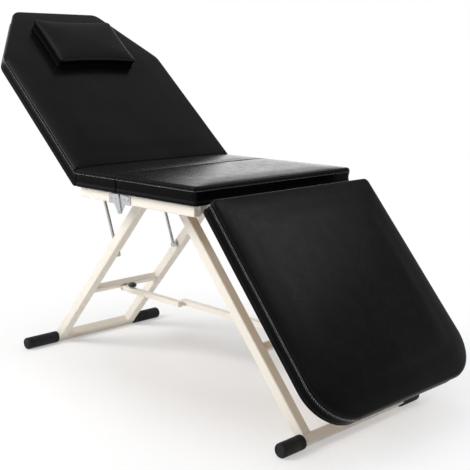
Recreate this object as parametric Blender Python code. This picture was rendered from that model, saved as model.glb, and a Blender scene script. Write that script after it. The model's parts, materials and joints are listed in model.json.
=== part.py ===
"""A folding massage table: four cushions on plywood boards, two steel halves that fold like a suitcase,
splayed leg frames tied by a stretcher, a backrest on telescoping struts and a leg rest on hinged arms.

Metres, +Z up. +X runs from the head to the foot, and the near side is -Y. Every piece is drawn level, in
the frame of the empty that stands on its joint's axis, and the empty is then turned to the angle in use.
"""

import math

import bmesh
import bpy

# Driving dimensions: cushions
WIDTH = 0.600
SEAT_LENGTH = 0.325
MIDDLE_LENGTH = 0.189
BACK_LENGTH = 0.727
BACK_TAPER_START = 0.503
HEAD_WIDTH = 0.320
LEG_REST_LENGTH = 0.606
LEG_REST_CORNER = 0.110
CUSHION_CORNER = 0.012
HEAD_CORNER = 0.035
CUSHION_HEIGHT = 0.051
CROWN = 0.010
CROWN_SHARES = (0.94, 0.84, 0.66, 0.40)
EDGE_ROLL = 0.007
DRAW_IN = 0.0035
CUSHION_BOTTOM = 0.5736
PILLOW_LENGTH = 0.200
PILLOW_WIDTH = 0.294
PILLOW_HEIGHT = 0.042
PILLOW_CROWN = 0.016
PILLOW_FROM_HEAD = 0.191
PILLOW_CORNER = 0.020
PILLOW_ROLL = 0.009
BACK_SHOULDER = 0.060
BEND_LAP = 0.030
UNDER_TUCK = 0.003
OUTLINE_STEP = 0.070
BOARD = 0.009
BOARD_MARGIN = 0.022

# Driving dimensions: angles in use, in degrees
BACK_ANGLE = 40.85
LEG_REST_ANGLE = 49.84

# Driving dimensions: joint axes, down from the underside of the cushions and out from the fold
FOLD_DROP = 0.0486
LEG_PIVOT_DROP = 0.0286
BACK_AXIS_DROP = 0.005
LEG_REST_AXIS_DROP = 0.0122
LEG_REST_AXIS_OUT = 0.009
LEG_REST_GAP = 0.001
HEAD_PIVOT_OUT = 0.0654
FOOT_PIVOT_OUT = 0.1334
FOLD_HEIGHT = CUSHION_BOTTOM - FOLD_DROP
LEG_PIVOT_HEIGHT = CUSHION_BOTTOM - LEG_PIVOT_DROP

# Driving dimensions: frame
TUBE = 0.030
TUBE_WALL = 0.0015
TUBE_CORNER = 0.004
RAIL_WIDTH = 0.025
RAIL_HEIGHT = 0.0295
RAIL_SPREAD = 0.270
RAIL_START = 0.002
SEAT_RAIL_END = 0.300
MIDDLE_RAIL_END = 0.187
HEAD_FOOT_OUT = 0.547
FOOT_FOOT_OUT = 0.589
HEAD_LEG_SPREAD = 0.141
FOOT_LEG_SPREAD = 0.180
FLOOR_BAR_LENGTH = 0.530
FLOOR_BAR = 0.028
CROSSBAR = 0.022
CROSSBAR_HEIGHT = 0.210
CAP_RADIUS = 0.019
CAP_FROM_UPRIGHT = 0.001
CAP_END = 0.009
CAP_SIDES = 24
CAP_NOSE = ((1.00, 0.35), (0.90, 0.10), (0.74, 0.00))

# Driving dimensions: stretcher
LINK_HEIGHT = 0.016
LINK_WIDTH = 0.018
LINK_OFFSET = 0.004
HEAD_LINK_LENGTH = 0.285
FOOT_LINK_LENGTH = 0.500
KNOB_RADIUS = 0.013
KNOB_HEIGHT = 0.013
KNOB_FROM_PIN = 0.045
KNOB_LIFT = 0.004
KNOB_STEM = 0.0035
KNOB_FLUTES = 8
KNOB_FLUTE_SHARE = 0.07
SCREW_DEPTH = 0.002
EAR_WALL = 0.004
EAR_FOOT = 0.010

# Driving dimensions: struts
STRUT_LUG_FROM_AXIS = 0.250
STRUT_FOOT_HEIGHT = 0.340
STRUT_SPREAD = 0.112
STRUT_TUBE_RADIUS = 0.0075
STRUT_ROD_RADIUS = 0.0050
STRUT_TUBE_LENGTH = 0.235
STRUT_OVERLAP = 0.060
STRUT_EYE_EXTRA = 0.0008
STRUT_EYE_RADIUS = 0.0078
STRUT_LUG_FOOT = 0.020
YOKE_LENGTH = 0.030
WASHER_RADIUS = 0.009
WASHER = 0.002
BOLT_RADIUS = 0.0055

# Driving dimensions: hardware
GAP = 0.0003
RELIEF = 0.001
LAP = 0.001
THROUGH = 0.010
EDGE = 0.002
PLATE = 0.003
LUG = 0.005
PIN_RADIUS = 0.0030
PIN_PROUD = 0.0010
AXLE_RADIUS = 0.0050
AXLE_PROUD = 0.004
BORE_CLEARANCE = 0.0003
LEAF_LENGTH = 0.045
LEAF_EAR = 0.008
LEAF_NECK = 0.021
BRACKET_EAR = 0.014
BRACKET_FOOT = 0.012
FLANGE_WIDTH = 0.030
ARM_LENGTH = 0.385
ARM_HEIGHT = 0.0085
STRAP_WIDTH = 0.025
STRAP_HEIGHT = 0.006
STRAP_FROM_END = 0.010
REST_EYE = 0.0065
REST_LUG_LENGTH = 0.060
REST_LUG_NECK = 0.012
REST_EAR_LENGTH = 0.075
EYE_NECK = 1.6
BACK_HINGE_WIDTH = 0.300
BACK_BARREL = 0.0041
BACK_PIN = 0.0018
BACK_WEB = 0.010
BACK_LEAF = 0.055

TWO_SIDES = (("near", -1), ("far", 1))


def material(name, colour, roughness, metallic=0.0):
    made = bpy.data.materials.new(name)
    made.use_nodes = True
    shader = made.node_tree.nodes["Principled BSDF"]
    shader.inputs["Base Color"].default_value = (*colour, 1.0)
    shader.inputs["Roughness"].default_value = roughness
    shader.inputs["Metallic"].default_value = metallic
    return made


def paint(obj, base):
    """Gives the object a material of its own, copied from one of the base finishes."""
    own = base.copy()
    own.name = obj.name
    obj.data.materials.append(own)


def joint_frame(name, parent, place, turn=0.0):
    """An empty on a joint's axis, turned about Y by degrees. Positive lowers what lies towards +X."""
    frame = bpy.data.objects.new(name, None)
    bpy.context.scene.collection.objects.link(frame)
    frame.parent = parent
    frame.location = place
    frame.rotation_euler = (0.0, math.radians(turn), 0.0)
    return frame


def add_object(name, shape, parent, smooth=False):
    bmesh.ops.recalc_face_normals(shape, faces=shape.faces)
    mesh = bpy.data.meshes.new(name)
    shape.to_mesh(mesh)
    shape.free()
    obj = bpy.data.objects.new(name, mesh)
    bpy.context.scene.collection.objects.link(obj)
    obj.parent = parent
    if smooth:
        mesh.shade_smooth()
        mesh.set_sharp_from_angle(angle=math.radians(40))
    return obj


def helper(obj):
    obj.hide_render = True
    obj.display_type = "WIRE"
    return obj


def combine(obj, other, operation):
    """Cuts a helper solid from the object, or joins it on, and leaves the helper out of the model."""
    helper(other)
    change = obj.modifiers.new(other.name, "BOOLEAN")
    change.operation = operation
    change.solver = "EXACT"
    change.object = other


def cut(obj, other):
    combine(obj, other, "DIFFERENCE")


def join(obj, other):
    combine(obj, other, "UNION")


def arc(centre, radius, start, end, steps):
    """Points round a centre from one angle to another, both in degrees."""
    angles = [math.radians(start + (end - start) * i / steps) for i in range(steps + 1)]
    return [(centre[0] + radius * math.cos(a), centre[1] + radius * math.sin(a)) for a in angles]


def rounded_corner(before, corner, after, radius, steps):
    """The arc that rounds one corner of an outline."""
    ways = []
    for point in (before, after):
        length = math.dist(point, corner)
        ways.append(((point[0] - corner[0]) / length, (point[1] - corner[1]) / length))
    (ax, ay), (bx, by) = ways
    half = math.acos(max(-1.0, min(1.0, ax * bx + ay * by))) / 2
    reach = radius / math.tan(half)
    middle = radius / math.sin(half)
    mx, my = ax + bx, ay + by
    scale = middle / math.hypot(mx, my)
    centre = (corner[0] + mx * scale, corner[1] + my * scale)
    first = math.atan2(corner[1] + ay * reach - centre[1], corner[0] + ax * reach - centre[0])
    last = math.atan2(corner[1] + by * reach - centre[1], corner[0] + bx * reach - centre[0])
    sweep = (last - first + math.pi) % (2 * math.pi) - math.pi
    return arc(centre, radius, math.degrees(first), math.degrees(first + sweep), steps)


def rounded(corners, steps=4):
    """An outline of (x, y, radius) corners, as points. A corner with no radius stays sharp."""
    points = []
    for i, (x, y, radius) in enumerate(corners):
        before = corners[i - 1][:2]
        after = corners[(i + 1) % len(corners)][:2]
        if radius:
            points += rounded_corner(before, (x, y), after, radius, steps)
        else:
            points.append((x, y))
    return points


def rectangle(x0, x1, y0, y1, radius=0.0, steps=3):
    return rounded([(x0, y0, radius), (x1, y0, radius), (x1, y1, radius), (x0, y1, radius)], steps)


def circle(centre, radius, sides=16, first=0.0):
    return arc(centre, radius, first, first + 360.0 * (sides - 1) / sides, sides - 1)


def swept(outline, low, high, axis):
    """A prism of an outline. Along Y it is drawn in (x, z), along Z in (x, y) and along X in (y, z)."""
    place = {
        "X": lambda p, t: (t, p[0], p[1]),
        "Y": lambda p, t: (p[0], t, p[1]),
        "Z": lambda p, t: (p[0], p[1], t),
    }[axis]
    shape = bmesh.new()
    ends = [[shape.verts.new(place(point, t)) for point in outline] for t in (low, high)]
    for end in ends:
        shape.faces.new(end)
    for i in range(len(outline)):
        shape.faces.new((ends[0][i - 1], ends[0][i], ends[1][i], ends[1][i - 1]))
    return shape


def prism(name, parent, outline, low, high, axis="Y", smooth=False):
    return add_object(name, swept(outline, low, high, axis), parent, smooth)


def tube(name, parent, outline, inner, low, high, axis):
    """An open-ended tube between two outlines with the same number of points."""
    place = {
        "X": lambda p, t: (t, p[0], p[1]),
        "Y": lambda p, t: (p[0], t, p[1]),
    }[axis]
    shape = bmesh.new()
    rings = [
        [shape.verts.new(place(point, t)) for point in points]
        for points, t in ((outline, low), (outline, high), (inner, high), (inner, low))
    ]
    for first, second in zip(rings, rings[1:] + rings[:1]):
        for i in range(len(outline)):
            shape.faces.new((first[i - 1], first[i], second[i], second[i - 1]))
    return add_object(name, shape, parent, smooth=True)


def box_tube(name, parent, centre, size, low, high, axis):
    """A rectangular steel tube along X or Y with rounded edges. Centre and size are across it."""
    (a, b), (width, height) = centre, size
    outlines = []
    for inset, radius in ((0.0, TUBE_CORNER), (TUBE_WALL, TUBE_CORNER - TUBE_WALL)):
        w, h = width / 2 - inset, height / 2 - inset
        outlines.append(rectangle(a - w, a + w, b - h, b + h, radius))
    return tube(name, parent, outlines[0], outlines[1], low, high, axis)


def bore(obj, parent, centre, radius, low, high):
    """Drills a round hole along Y."""
    cut(obj, prism(obj.name + "_bore", parent, circle(centre, radius), low, high))


def cushion_profile(height, crown, roll):
    """(inset, share of the outline, height) of each ring, from the underside up to the crown."""
    sides = [
        (roll + UNDER_TUCK, 1.0, 0.0),
        (0.40 * roll, 1.0, 0.35 * roll),
        (0.0, 1.0, roll),
        (DRAW_IN, 1.0, 0.5 * height),
        (0.0, 1.0, height - roll),
        (0.40 * roll, 1.0, height - 0.25 * roll),
        (roll, 1.0, height),
    ]
    top = [(roll, share, height + crown * (1 - share**4)) for share in CROWN_SHARES]
    return sides + top


def cushion(name, parent, outline, base, height, crown, roll=EDGE_ROLL):
    """A filled cover with drawn-in sides and a crowned top, over an outline in (x, y)."""
    xs = [x for x, _ in outline]
    ys = [y for _, y in outline]
    mx, my = (min(xs) + max(xs)) / 2, (min(ys) + max(ys)) / 2
    half = ((max(xs) - min(xs)) / 2, (max(ys) - min(ys)) / 2)
    shape = bmesh.new()
    rings = []
    for inset, share, z in cushion_profile(height, crown, roll):
        scale = [share * (1 - inset / h) for h in half]
        rings.append(
            [
                shape.verts.new((mx + (x - mx) * scale[0], my + (y - my) * scale[1], base + z))
                for x, y in outline
            ]
        )
    for lower, upper in zip(rings, rings[1:]):
        for i in range(len(outline)):
            shape.faces.new((lower[i - 1], lower[i], upper[i], upper[i - 1]))
    shape.faces.new(rings[0])
    peak = shape.verts.new((mx, my, base + height + crown))
    for i in range(len(outline)):
        shape.faces.new((rings[-1][i - 1], rings[-1][i], peak))
    return add_object(name, shape, parent, smooth=True)


def subdivided(outline, most):
    """The outline with points added so that no side is longer than the given length."""
    points = []
    for i, point in enumerate(outline):
        after = outline[(i + 1) % len(outline)]
        parts = max(1, math.ceil(math.dist(point, after) / most))
        points += [
            (point[0] + (after[0] - point[0]) * k / parts, point[1] + (after[1] - point[1]) * k / parts)
            for k in range(parts)
        ]
    return points


def upholstered(prefix, parent, corners, board_corners, base):
    """A cushion with its plywood board let into the underside, flush with it."""
    outline = subdivided(rounded(corners), OUTLINE_STEP)
    pad = cushion(prefix + "_pad", parent, outline, base, CUSHION_HEIGHT, CROWN)
    board = rounded(board_corners)
    xs = [x for x, _ in board]
    ys = [y for _, y in board]
    mx, my = (min(xs) + max(xs)) / 2, (min(ys) + max(ys)) / 2
    grow_x, grow_y = (1 + 2 * GAP / (max(v) - min(v)) for v in (xs, ys))
    pocket = [(mx + (x - mx) * grow_x, my + (y - my) * grow_y) for x, y in board]
    cut(pad, prism(prefix + "_pocket", parent, pocket, base - THROUGH, base + BOARD + GAP, "Z"))
    paint(pad, FAUX_LEATHER)
    paint(prism(prefix + "_board", parent, board, base, base + BOARD, "Z"), PLYWOOD)
    return pad


def panel_corners(x0, x1, half, radius, margin=0.0):
    x0, x1, half = x0 + margin, x1 - margin, half - margin
    return [(x0, -half, radius), (x1, -half, radius), (x1, half, radius), (x0, half, radius)]


def flat_panel(prefix, parent, x0, x1, base):
    corners = panel_corners(x0, x1, WIDTH / 2, CUSHION_CORNER)
    board = panel_corners(x0, x1, WIDTH / 2, CUSHION_CORNER, BOARD_MARGIN)
    upholstered(prefix, parent, corners, board, base)


def rails(prefix, parent, x0, x1, base):
    """The pair of side rails under a half's board."""
    for side, sign in TWO_SIDES:
        centre = (sign * RAIL_SPREAD, base - GAP - RAIL_HEIGHT / 2)
        size = (RAIL_WIDTH, RAIL_HEIGHT)
        paint(box_tube(f"{prefix}_rail_{side}", parent, centre, size, x0, x1, "X"), POWDER_COAT)


def leaf_outline(direction, rail_low, rail_high):
    """A fold hinge's leaf in (x, z) about the knuckle: a plate on the rail and an ear down to the pin."""
    corners = [
        (direction * LEAF_LENGTH, rail_high, EDGE),
        (direction * LEAF_LENGTH, rail_low, EDGE),
        (direction * LEAF_NECK, rail_low, 0.0),
    ]
    ends = (0, -180) if direction > 0 else (180, 360)
    return rounded(corners) + arc((0.0, 0.0), LEAF_EAR, *ends, 8) + [(direction * EDGE, rail_high)]


def fold_hinge(side, sign, seat_frame, head_frame):
    """Two leaves on the outer faces of the rails, turning on a pin below them."""
    face = RAIL_SPREAD + RAIL_WIDTH / 2 + GAP
    split = face + PLATE
    outer = split + GAP
    rail_high = FOLD_DROP - EDGE
    rail_low = FOLD_DROP - RAIL_HEIGHT
    outline = leaf_outline(1, rail_low, rail_high)
    seat = prism(f"fold_leaf_seat_{side}", seat_frame, outline, sign * face, sign * split)
    ends = (sign * (face + LAP), sign * (outer + PLATE + PIN_PROUD))
    join(seat, prism(f"fold_pin_{side}", seat_frame, circle((0.0, 0.0), PIN_RADIUS), *ends))
    paint(seat, ZINC)
    outline = leaf_outline(-1, rail_low, rail_high)
    head = prism(f"fold_leaf_head_{side}", head_frame, outline, sign * outer, sign * (outer + PLATE))
    packer = rectangle(EDGE - LEAF_LENGTH, -LEAF_NECK, rail_low + LAP, rail_high - LAP)
    join(head, prism(f"fold_packer_{side}", head_frame, packer, sign * face, sign * (outer + LAP)))
    ends = (sign * (outer - THROUGH), sign * (outer + THROUGH))
    bore(head, head_frame, (0.0, 0.0), PIN_RADIUS + BORE_CLEARANCE, *ends)
    paint(head, ZINC)


def leg_bracket(prefix, side, sign, parent, spread, ceiling):
    """An angle bracket under the board, outside an upright, that carries one end of the leg's axle."""
    inner = spread + TUBE / 2 + GAP
    foot = BRACKET_EAR + BRACKET_FOOT
    ear = arc((0.0, 0.0), BRACKET_EAR, 180, 360, 8) + [(foot, ceiling), (-foot, ceiling)]
    bracket = prism(f"{prefix}_bracket_{side}", parent, ear, sign * inner, sign * (inner + PLATE))
    flange = rectangle(-foot, foot, ceiling - PLATE, ceiling)
    ends = (sign * (inner + LAP), sign * (inner + FLANGE_WIDTH))
    join(bracket, prism(f"{prefix}_flange_{side}", parent, flange, *ends))
    ends = (sign * (inner - THROUGH), sign * (inner + THROUGH))
    bore(bracket, parent, (0.0, 0.0), AXLE_RADIUS + BORE_CLEARANCE, *ends)
    paint(bracket, ZINC)


def leg(prefix, carrier, frame, spread, length, crossbar_at, way):
    """A welded leg frame, drawn level from its axle at the origin towards +X or -X, and its mountings."""
    ceiling = LEG_PIVOT_DROP - GAP
    for side, sign in TWO_SIDES:
        leg_bracket(f"{prefix}_leg", side, sign, carrier, spread, ceiling)
        ends = sorted((-way * TUBE / 2, way * (length - FLOOR_BAR / 2 - GAP)))
        size = (TUBE, TUBE)
        upright = box_tube(f"{prefix}_upright_{side}", frame, (sign * spread, 0.0), size, *ends, "X")
        walls = (sign * (spread - TUBE), sign * (spread + TUBE))
        bore(upright, frame, (0.0, 0.0), AXLE_RADIUS + BORE_CLEARANCE, *walls)
        paint(upright, POWDER_COAT)
        mouth = spread + TUBE / 2 + CAP_FROM_UPRIGHT
        cap(f"{prefix}_cap_{side}", frame, way * length, sign, mouth, math.degrees(frame.rotation_euler.y))
    half = spread + TUBE / 2 + PLATE + AXLE_PROUD
    axle = prism(f"{prefix}_leg_axle", carrier, circle((0.0, 0.0), AXLE_RADIUS), -half, half, smooth=True)
    paint(axle, ZINC)
    for name, size, place, half in (
        ("floor_bar", FLOOR_BAR, length, FLOOR_BAR_LENGTH / 2),
        ("crossbar", CROSSBAR, crossbar_at, spread - TUBE / 2 - GAP),
    ):
        centre = (way * place, 0.0)
        paint(box_tube(f"{prefix}_{name}", frame, centre, (size, size), -half, half, "Y"), POWDER_COAT)


def cap(name, frame, x, sign, mouth, lean):
    """A round rubber sleeve from an upright to the floor bar's end. One of its flats lies on the floor."""
    first = lean - 90.0 + 180.0 / CAP_SIDES
    end = FLOOR_BAR_LENGTH / 2 + CAP_END
    profile = [(1.00, mouth)] + [(share, end - back * CAP_RADIUS) for share, back in CAP_NOSE]
    shape = bmesh.new()
    rings = []
    for share, y in profile:
        ring = circle((x, 0.0), share * CAP_RADIUS, CAP_SIDES, first)
        rings.append([shape.verts.new((px, sign * y, pz)) for px, pz in ring])
    for lower, upper in zip(rings, rings[1:]):
        for i in range(CAP_SIDES):
            shape.faces.new((lower[i - 1], lower[i], upper[i], upper[i - 1]))
    shape.faces.new(rings[0])
    shape.faces.new(rings[-1])
    sleeve = add_object(name, shape, frame, smooth=True)
    half = FLOOR_BAR / 2 + GAP
    hole = rectangle(x - half, x + half, -half, half, TUBE_CORNER)
    ends = (sign * (mouth - THROUGH), sign * (FLOOR_BAR_LENGTH / 2 + GAP))
    cut(sleeve, prism(name + "_hole", frame, hole, *ends))
    paint(sleeve, RUBBER)


def stretcher_half(prefix, leg_frame, link_frame, pin, way, side, length):
    """An ear under a crossbar and the link that turns on it, drawn level towards the other leg."""
    ear_y = sorted((side * (LINK_OFFSET - GAP), side * (LINK_OFFSET - GAP - LUG)))
    link_y = sorted((side * LINK_OFFSET, side * (LINK_OFFSET + LINK_WIDTH)))
    ceiling = -CROSSBAR / 2 - GAP
    through = LINK_WIDTH + THROUGH
    foot = [(pin[0] + EAR_FOOT, ceiling), (pin[0] - EAR_FOOT, ceiling)]
    outline = arc(pin, PIN_RADIUS + EAR_WALL, 180, 360, 8) + foot
    ear = prism(f"stretcher_ear_{prefix}", leg_frame, outline, *ear_y)
    bore(ear, leg_frame, pin, PIN_RADIUS + BORE_CLEARANCE, -through, through)
    paint(ear, ZINC)
    half = LINK_HEIGHT / 2
    turned = arc((0.0, 0.0), half, 90, 270, 8) if way > 0 else arc((0.0, 0.0), half, -90, 90, 8)
    far_end = [(way * length, -way * half), (way * length, way * half)]
    link = prism(f"stretcher_link_{prefix}", link_frame, turned + far_end, *link_y)
    bore(link, link_frame, (0.0, 0.0), PIN_RADIUS + BORE_CLEARANCE, -through, through)
    paint(link, POWDER_COAT)
    low, high = LINK_OFFSET - GAP - LUG - PIN_PROUD, LINK_OFFSET + LINK_WIDTH + PIN_PROUD
    ends = sorted((side * low, side * high))
    rod = prism(f"stretcher_pin_{prefix}", link_frame, circle((0.0, 0.0), PIN_RADIUS), *ends, smooth=True)
    paint(rod, ZINC)
    return link


def knob(link, link_frame, way, side):
    """The clamping knob: a screw that stands in the link, with a fluted black head on top."""
    x = way * KNOB_FROM_PIN
    y = side * (LINK_OFFSET + LINK_WIDTH / 2)
    under = LINK_HEIGHT / 2 + KNOB_LIFT
    turns = [2 * math.pi * i / (4 * KNOB_FLUTES) for i in range(4 * KNOB_FLUTES)]
    radius = [KNOB_RADIUS * (1 + KNOB_FLUTE_SHARE * math.cos(KNOB_FLUTES * a)) for a in turns]
    outline = [(x + r * math.cos(a), y + r * math.sin(a)) for r, a in zip(radius, turns)]
    head = prism("stretcher_knob", link_frame, outline, under, under + KNOB_HEIGHT, "Z", smooth=True)
    screw = circle((x, y), KNOB_STEM)
    join(head, prism("knob_screw", link_frame, screw, -SCREW_DEPTH, under + EDGE, "Z"))
    paint(head, RUBBER)
    hole = circle((x, y), KNOB_STEM + BORE_CLEARANCE)
    cut(link, prism("knob_hole", link_frame, hole, -SCREW_DEPTH - GAP, LINK_HEIGHT, "Z"))


def eye_plate(name, parent, radius, bar, low, high):
    """A plate along X with a pivot eye at the origin. The bar is (x end, z low, z high)."""
    end, z_low, z_high = bar
    outline = arc((0.0, 0.0), radius, 100, 330, 12)
    neck = (radius * EYE_NECK, z_low)
    return prism(name, parent, outline + [neck, (end, z_low), (end, z_high), (0.0, z_high)], low, high)


def backrest_hinge(leaf_frame, back_frame):
    """A wide butt hinge: a leaf under the middle board, a strap under the backrest's, one long pin."""
    half = BACK_HINGE_WIDTH / 2
    third = BACK_HINGE_WIDTH / 6
    top = BACK_AXIS_DROP - GAP
    low = top - PLATE
    web = [(0.0, -PIN_RADIUS), (BACK_WEB, low + RELIEF), (BACK_WEB, top - RELIEF), (0.0, PIN_RADIUS)]
    start = BACK_WEB - LAP
    sheet = [(start, low), (BACK_LEAF, low), (BACK_LEAF, top), (start, top)]
    barrel = circle((0.0, 0.0), BACK_BARREL)
    leaf = prism("back_hinge_leaf", leaf_frame, sheet, -half, half)
    for side, sign in TWO_SIDES:
        ends = (sign * (third + GAP), sign * (half - RELIEF))
        join(leaf, prism(f"leaf_web_{side}", leaf_frame, web, *ends))
        join(leaf, prism(f"leaf_barrel_{side}", leaf_frame, barrel, *ends))
    pin = circle((0.0, 0.0), BACK_PIN)
    join(leaf, prism("back_hinge_pin", leaf_frame, pin, EDGE - half, half - EDGE))
    paint(leaf, ZINC)
    strap = prism("back_hinge_strap", back_frame, [(-x, z) for x, z in sheet], -half, half)
    join(strap, prism("strap_web", back_frame, [(-x, z) for x, z in web], -third, third))
    join(strap, prism("strap_barrel", back_frame, barrel, -third, third))
    hole = circle((0.0, 0.0), BACK_PIN + BORE_CLEARANCE)
    cut(strap, prism("strap_bore", back_frame, hole, -half, half))
    paint(strap, ZINC)


def strut(side, sign, back_frame, strut_frame, length, lug_z):
    """A telescoping strut: a lug on the backrest's board, a tube that hangs on it and a rod that slides."""
    y = sign * STRUT_SPREAD
    wide = STRUT_TUBE_RADIUS + STRUT_EYE_EXTRA
    inner = y - sign * (wide + GAP)
    reach = PIN_RADIUS + EAR_WALL
    x = -STRUT_LUG_FROM_AXIS
    ceiling = BACK_AXIS_DROP - GAP
    foot = [(x + STRUT_LUG_FOOT, ceiling), (x - STRUT_LUG_FOOT, ceiling)]
    outline = arc((x, lug_z), reach, 180, 360, 8) + foot
    lug = prism(f"strut_lug_{side}", back_frame, outline, inner - sign * LUG, inner)
    ends = (inner - sign * THROUGH, inner + sign * THROUGH)
    bore(lug, back_frame, (x, lug_z), PIN_RADIUS + BORE_CLEARANCE, *ends)
    paint(lug, ZINC)
    eye = circle((0.0, 0.0), STRUT_EYE_RADIUS)
    barrel = prism(f"strut_tube_{side}", strut_frame, eye, y - sign * wide, y + sign * wide)
    sleeve = circle((y, 0.0), STRUT_TUBE_RADIUS)
    join(barrel, prism(f"strut_sleeve_{side}", strut_frame, sleeve, EAR_WALL, STRUT_TUBE_LENGTH, "X"))
    bore(barrel, strut_frame, (0.0, 0.0), PIN_RADIUS + BORE_CLEARANCE, y - THROUGH, y + THROUGH)
    hollow = circle((y, 0.0), STRUT_ROD_RADIUS + BORE_CLEARANCE)
    ends = (reach + EAR_WALL, STRUT_TUBE_LENGTH + THROUGH)
    cut(barrel, prism(f"strut_hollow_{side}", strut_frame, hollow, *ends, "X"))
    paint(barrel, STEEL)
    start = STRUT_TUBE_LENGTH - STRUT_OVERLAP
    shaft = circle((y, 0.0), STRUT_ROD_RADIUS)
    rod = prism(f"strut_rod_{side}", strut_frame, shaft, start, length, "X", smooth=True)
    eye = circle((length, 0.0), STRUT_EYE_RADIUS)
    wide = STRUT_ROD_RADIUS + STRUT_EYE_EXTRA
    join(rod, prism(f"strut_eye_{side}", strut_frame, eye, y - sign * wide, y + sign * wide))
    paint(rod, STEEL)


def strut_bolt(side, sign, frame, place):
    """The washered bolt on an upright's inner face that a strut's lower eye bears on."""
    face = HEAD_LEG_SPREAD - TUBE / 2 - GAP
    end = STRUT_SPREAD + STRUT_ROD_RADIUS + STRUT_EYE_EXTRA + GAP
    washer = circle(place, WASHER_RADIUS)
    bolt = prism(f"strut_bolt_{side}", frame, washer, sign * (face - WASHER), sign * face, smooth=True)
    hexagon = circle(place, BOLT_RADIUS, 6)
    join(bolt, prism(f"strut_bolt_head_{side}", frame, hexagon, sign * end, sign * (face - LAP)))
    paint(bolt, ZINC)


def leg_rest_carriage(side, sign, seat_frame, arm_frame, axis):
    """A lug on a seat rail whose pin carries the support arm and the ear of the leg rest's board."""
    face = RAIL_SPREAD - RAIL_WIDTH / 2 - GAP
    layers = [face - i * (LUG + GAP) for i in range(3)]
    low, high = CUSHION_BOTTOM - RAIL_HEIGHT, CUSHION_BOTTOM - GAP - RELIEF
    back = SEAT_RAIL_END - REST_LUG_LENGTH
    nose = arc(axis, REST_EYE, -90, 80, 8)
    outline = [(back, high), (back, low)] + nose + [(axis[0] - REST_LUG_NECK, high)]
    lug = prism(f"leg_rest_lug_{side}", seat_frame, outline, sign * (layers[0] - LUG), sign * layers[0])
    ends = (sign * (layers[2] - LUG - PIN_PROUD), sign * (layers[0] - LAP))
    join(lug, prism(f"leg_rest_pin_{side}", seat_frame, circle(axis, PIN_RADIUS), *ends))
    paint(lug, ZINC)
    top = LEG_REST_AXIS_DROP - GAP
    for name, length, y, base in (
        (f"leg_rest_arm_{side}", ARM_LENGTH, layers[1], POWDER_COAT),
        (f"leg_rest_ear_{side}", REST_EAR_LENGTH, layers[2], ZINC),
    ):
        bar = (length, top - ARM_HEIGHT, top)
        plate = eye_plate(name, arm_frame, REST_EYE, bar, sign * (y - LUG), sign * y)
        ends = (sign * (y - THROUGH), sign * (y + THROUGH))
        bore(plate, arm_frame, (0.0, 0.0), PIN_RADIUS + BORE_CLEARANCE, *ends)
        paint(plate, base)


def leg_rest_strap(arm_frame):
    """The flat bar that ties the two support arms together near their free ends."""
    half = RAIL_SPREAD - RAIL_WIDTH / 2 - 2 * LUG - 3 * GAP
    top = LEG_REST_AXIS_DROP - GAP
    end = ARM_LENGTH - STRAP_FROM_END
    outline = rectangle(end - STRAP_WIDTH, end, top - STRAP_HEIGHT, top)
    paint(prism("leg_rest_strap", arm_frame, outline, -half, half), POWDER_COAT)


def build_legs(seat_frame, fold_frame):
    """Both leg frames, each splayed from its axle down to its floor bar, as {name: (frame, splay, way)}."""
    floor = CAP_RADIUS * math.cos(math.pi / CAP_SIDES)
    fall = LEG_PIVOT_HEIGHT - floor
    legs = {}
    for prefix, carrier, way, pivot, foot, spread in (
        ("head", fold_frame, -1, HEAD_PIVOT_OUT, HEAD_FOOT_OUT, HEAD_LEG_SPREAD),
        ("foot", seat_frame, 1, FOOT_PIVOT_OUT, FOOT_FOOT_OUT, FOOT_LEG_SPREAD),
    ):
        splay = math.atan2(fall, foot - pivot)
        place = (way * pivot, 0.0, FOLD_DROP - LEG_PIVOT_DROP)
        mounting = joint_frame(f"{prefix}_leg_mounting", carrier, place)
        frame = joint_frame(f"{prefix}_leg_axis", carrier, place, way * math.degrees(splay))
        crossbar_at = (LEG_PIVOT_HEIGHT - CROSSBAR_HEIGHT) / math.sin(splay)
        leg(prefix, mounting, frame, spread, math.hypot(fall, foot - pivot), crossbar_at, way)
        legs[prefix] = (frame, splay, way * crossbar_at)
    return legs


def build_stretcher(legs):
    """One link on each leg's crossbar, level in use, with the clamping knob on the head one."""
    drop = CROSSBAR / 2 + LINK_HEIGHT / 2 + 2 * GAP
    for prefix, way, side, length in (("head", 1, -1, HEAD_LINK_LENGTH), ("foot", -1, 1, FOOT_LINK_LENGTH)):
        frame, splay, crossbar_at = legs[prefix]
        level = way * math.degrees(splay)
        link_frame = joint_frame(f"stretcher_axis_{prefix}", frame, (crossbar_at, 0.0, -drop), level)
        link = stretcher_half(prefix, frame, link_frame, (crossbar_at, -drop), way, side, length)
        if prefix == "head":
            knob(link, link_frame, way, side)


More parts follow.
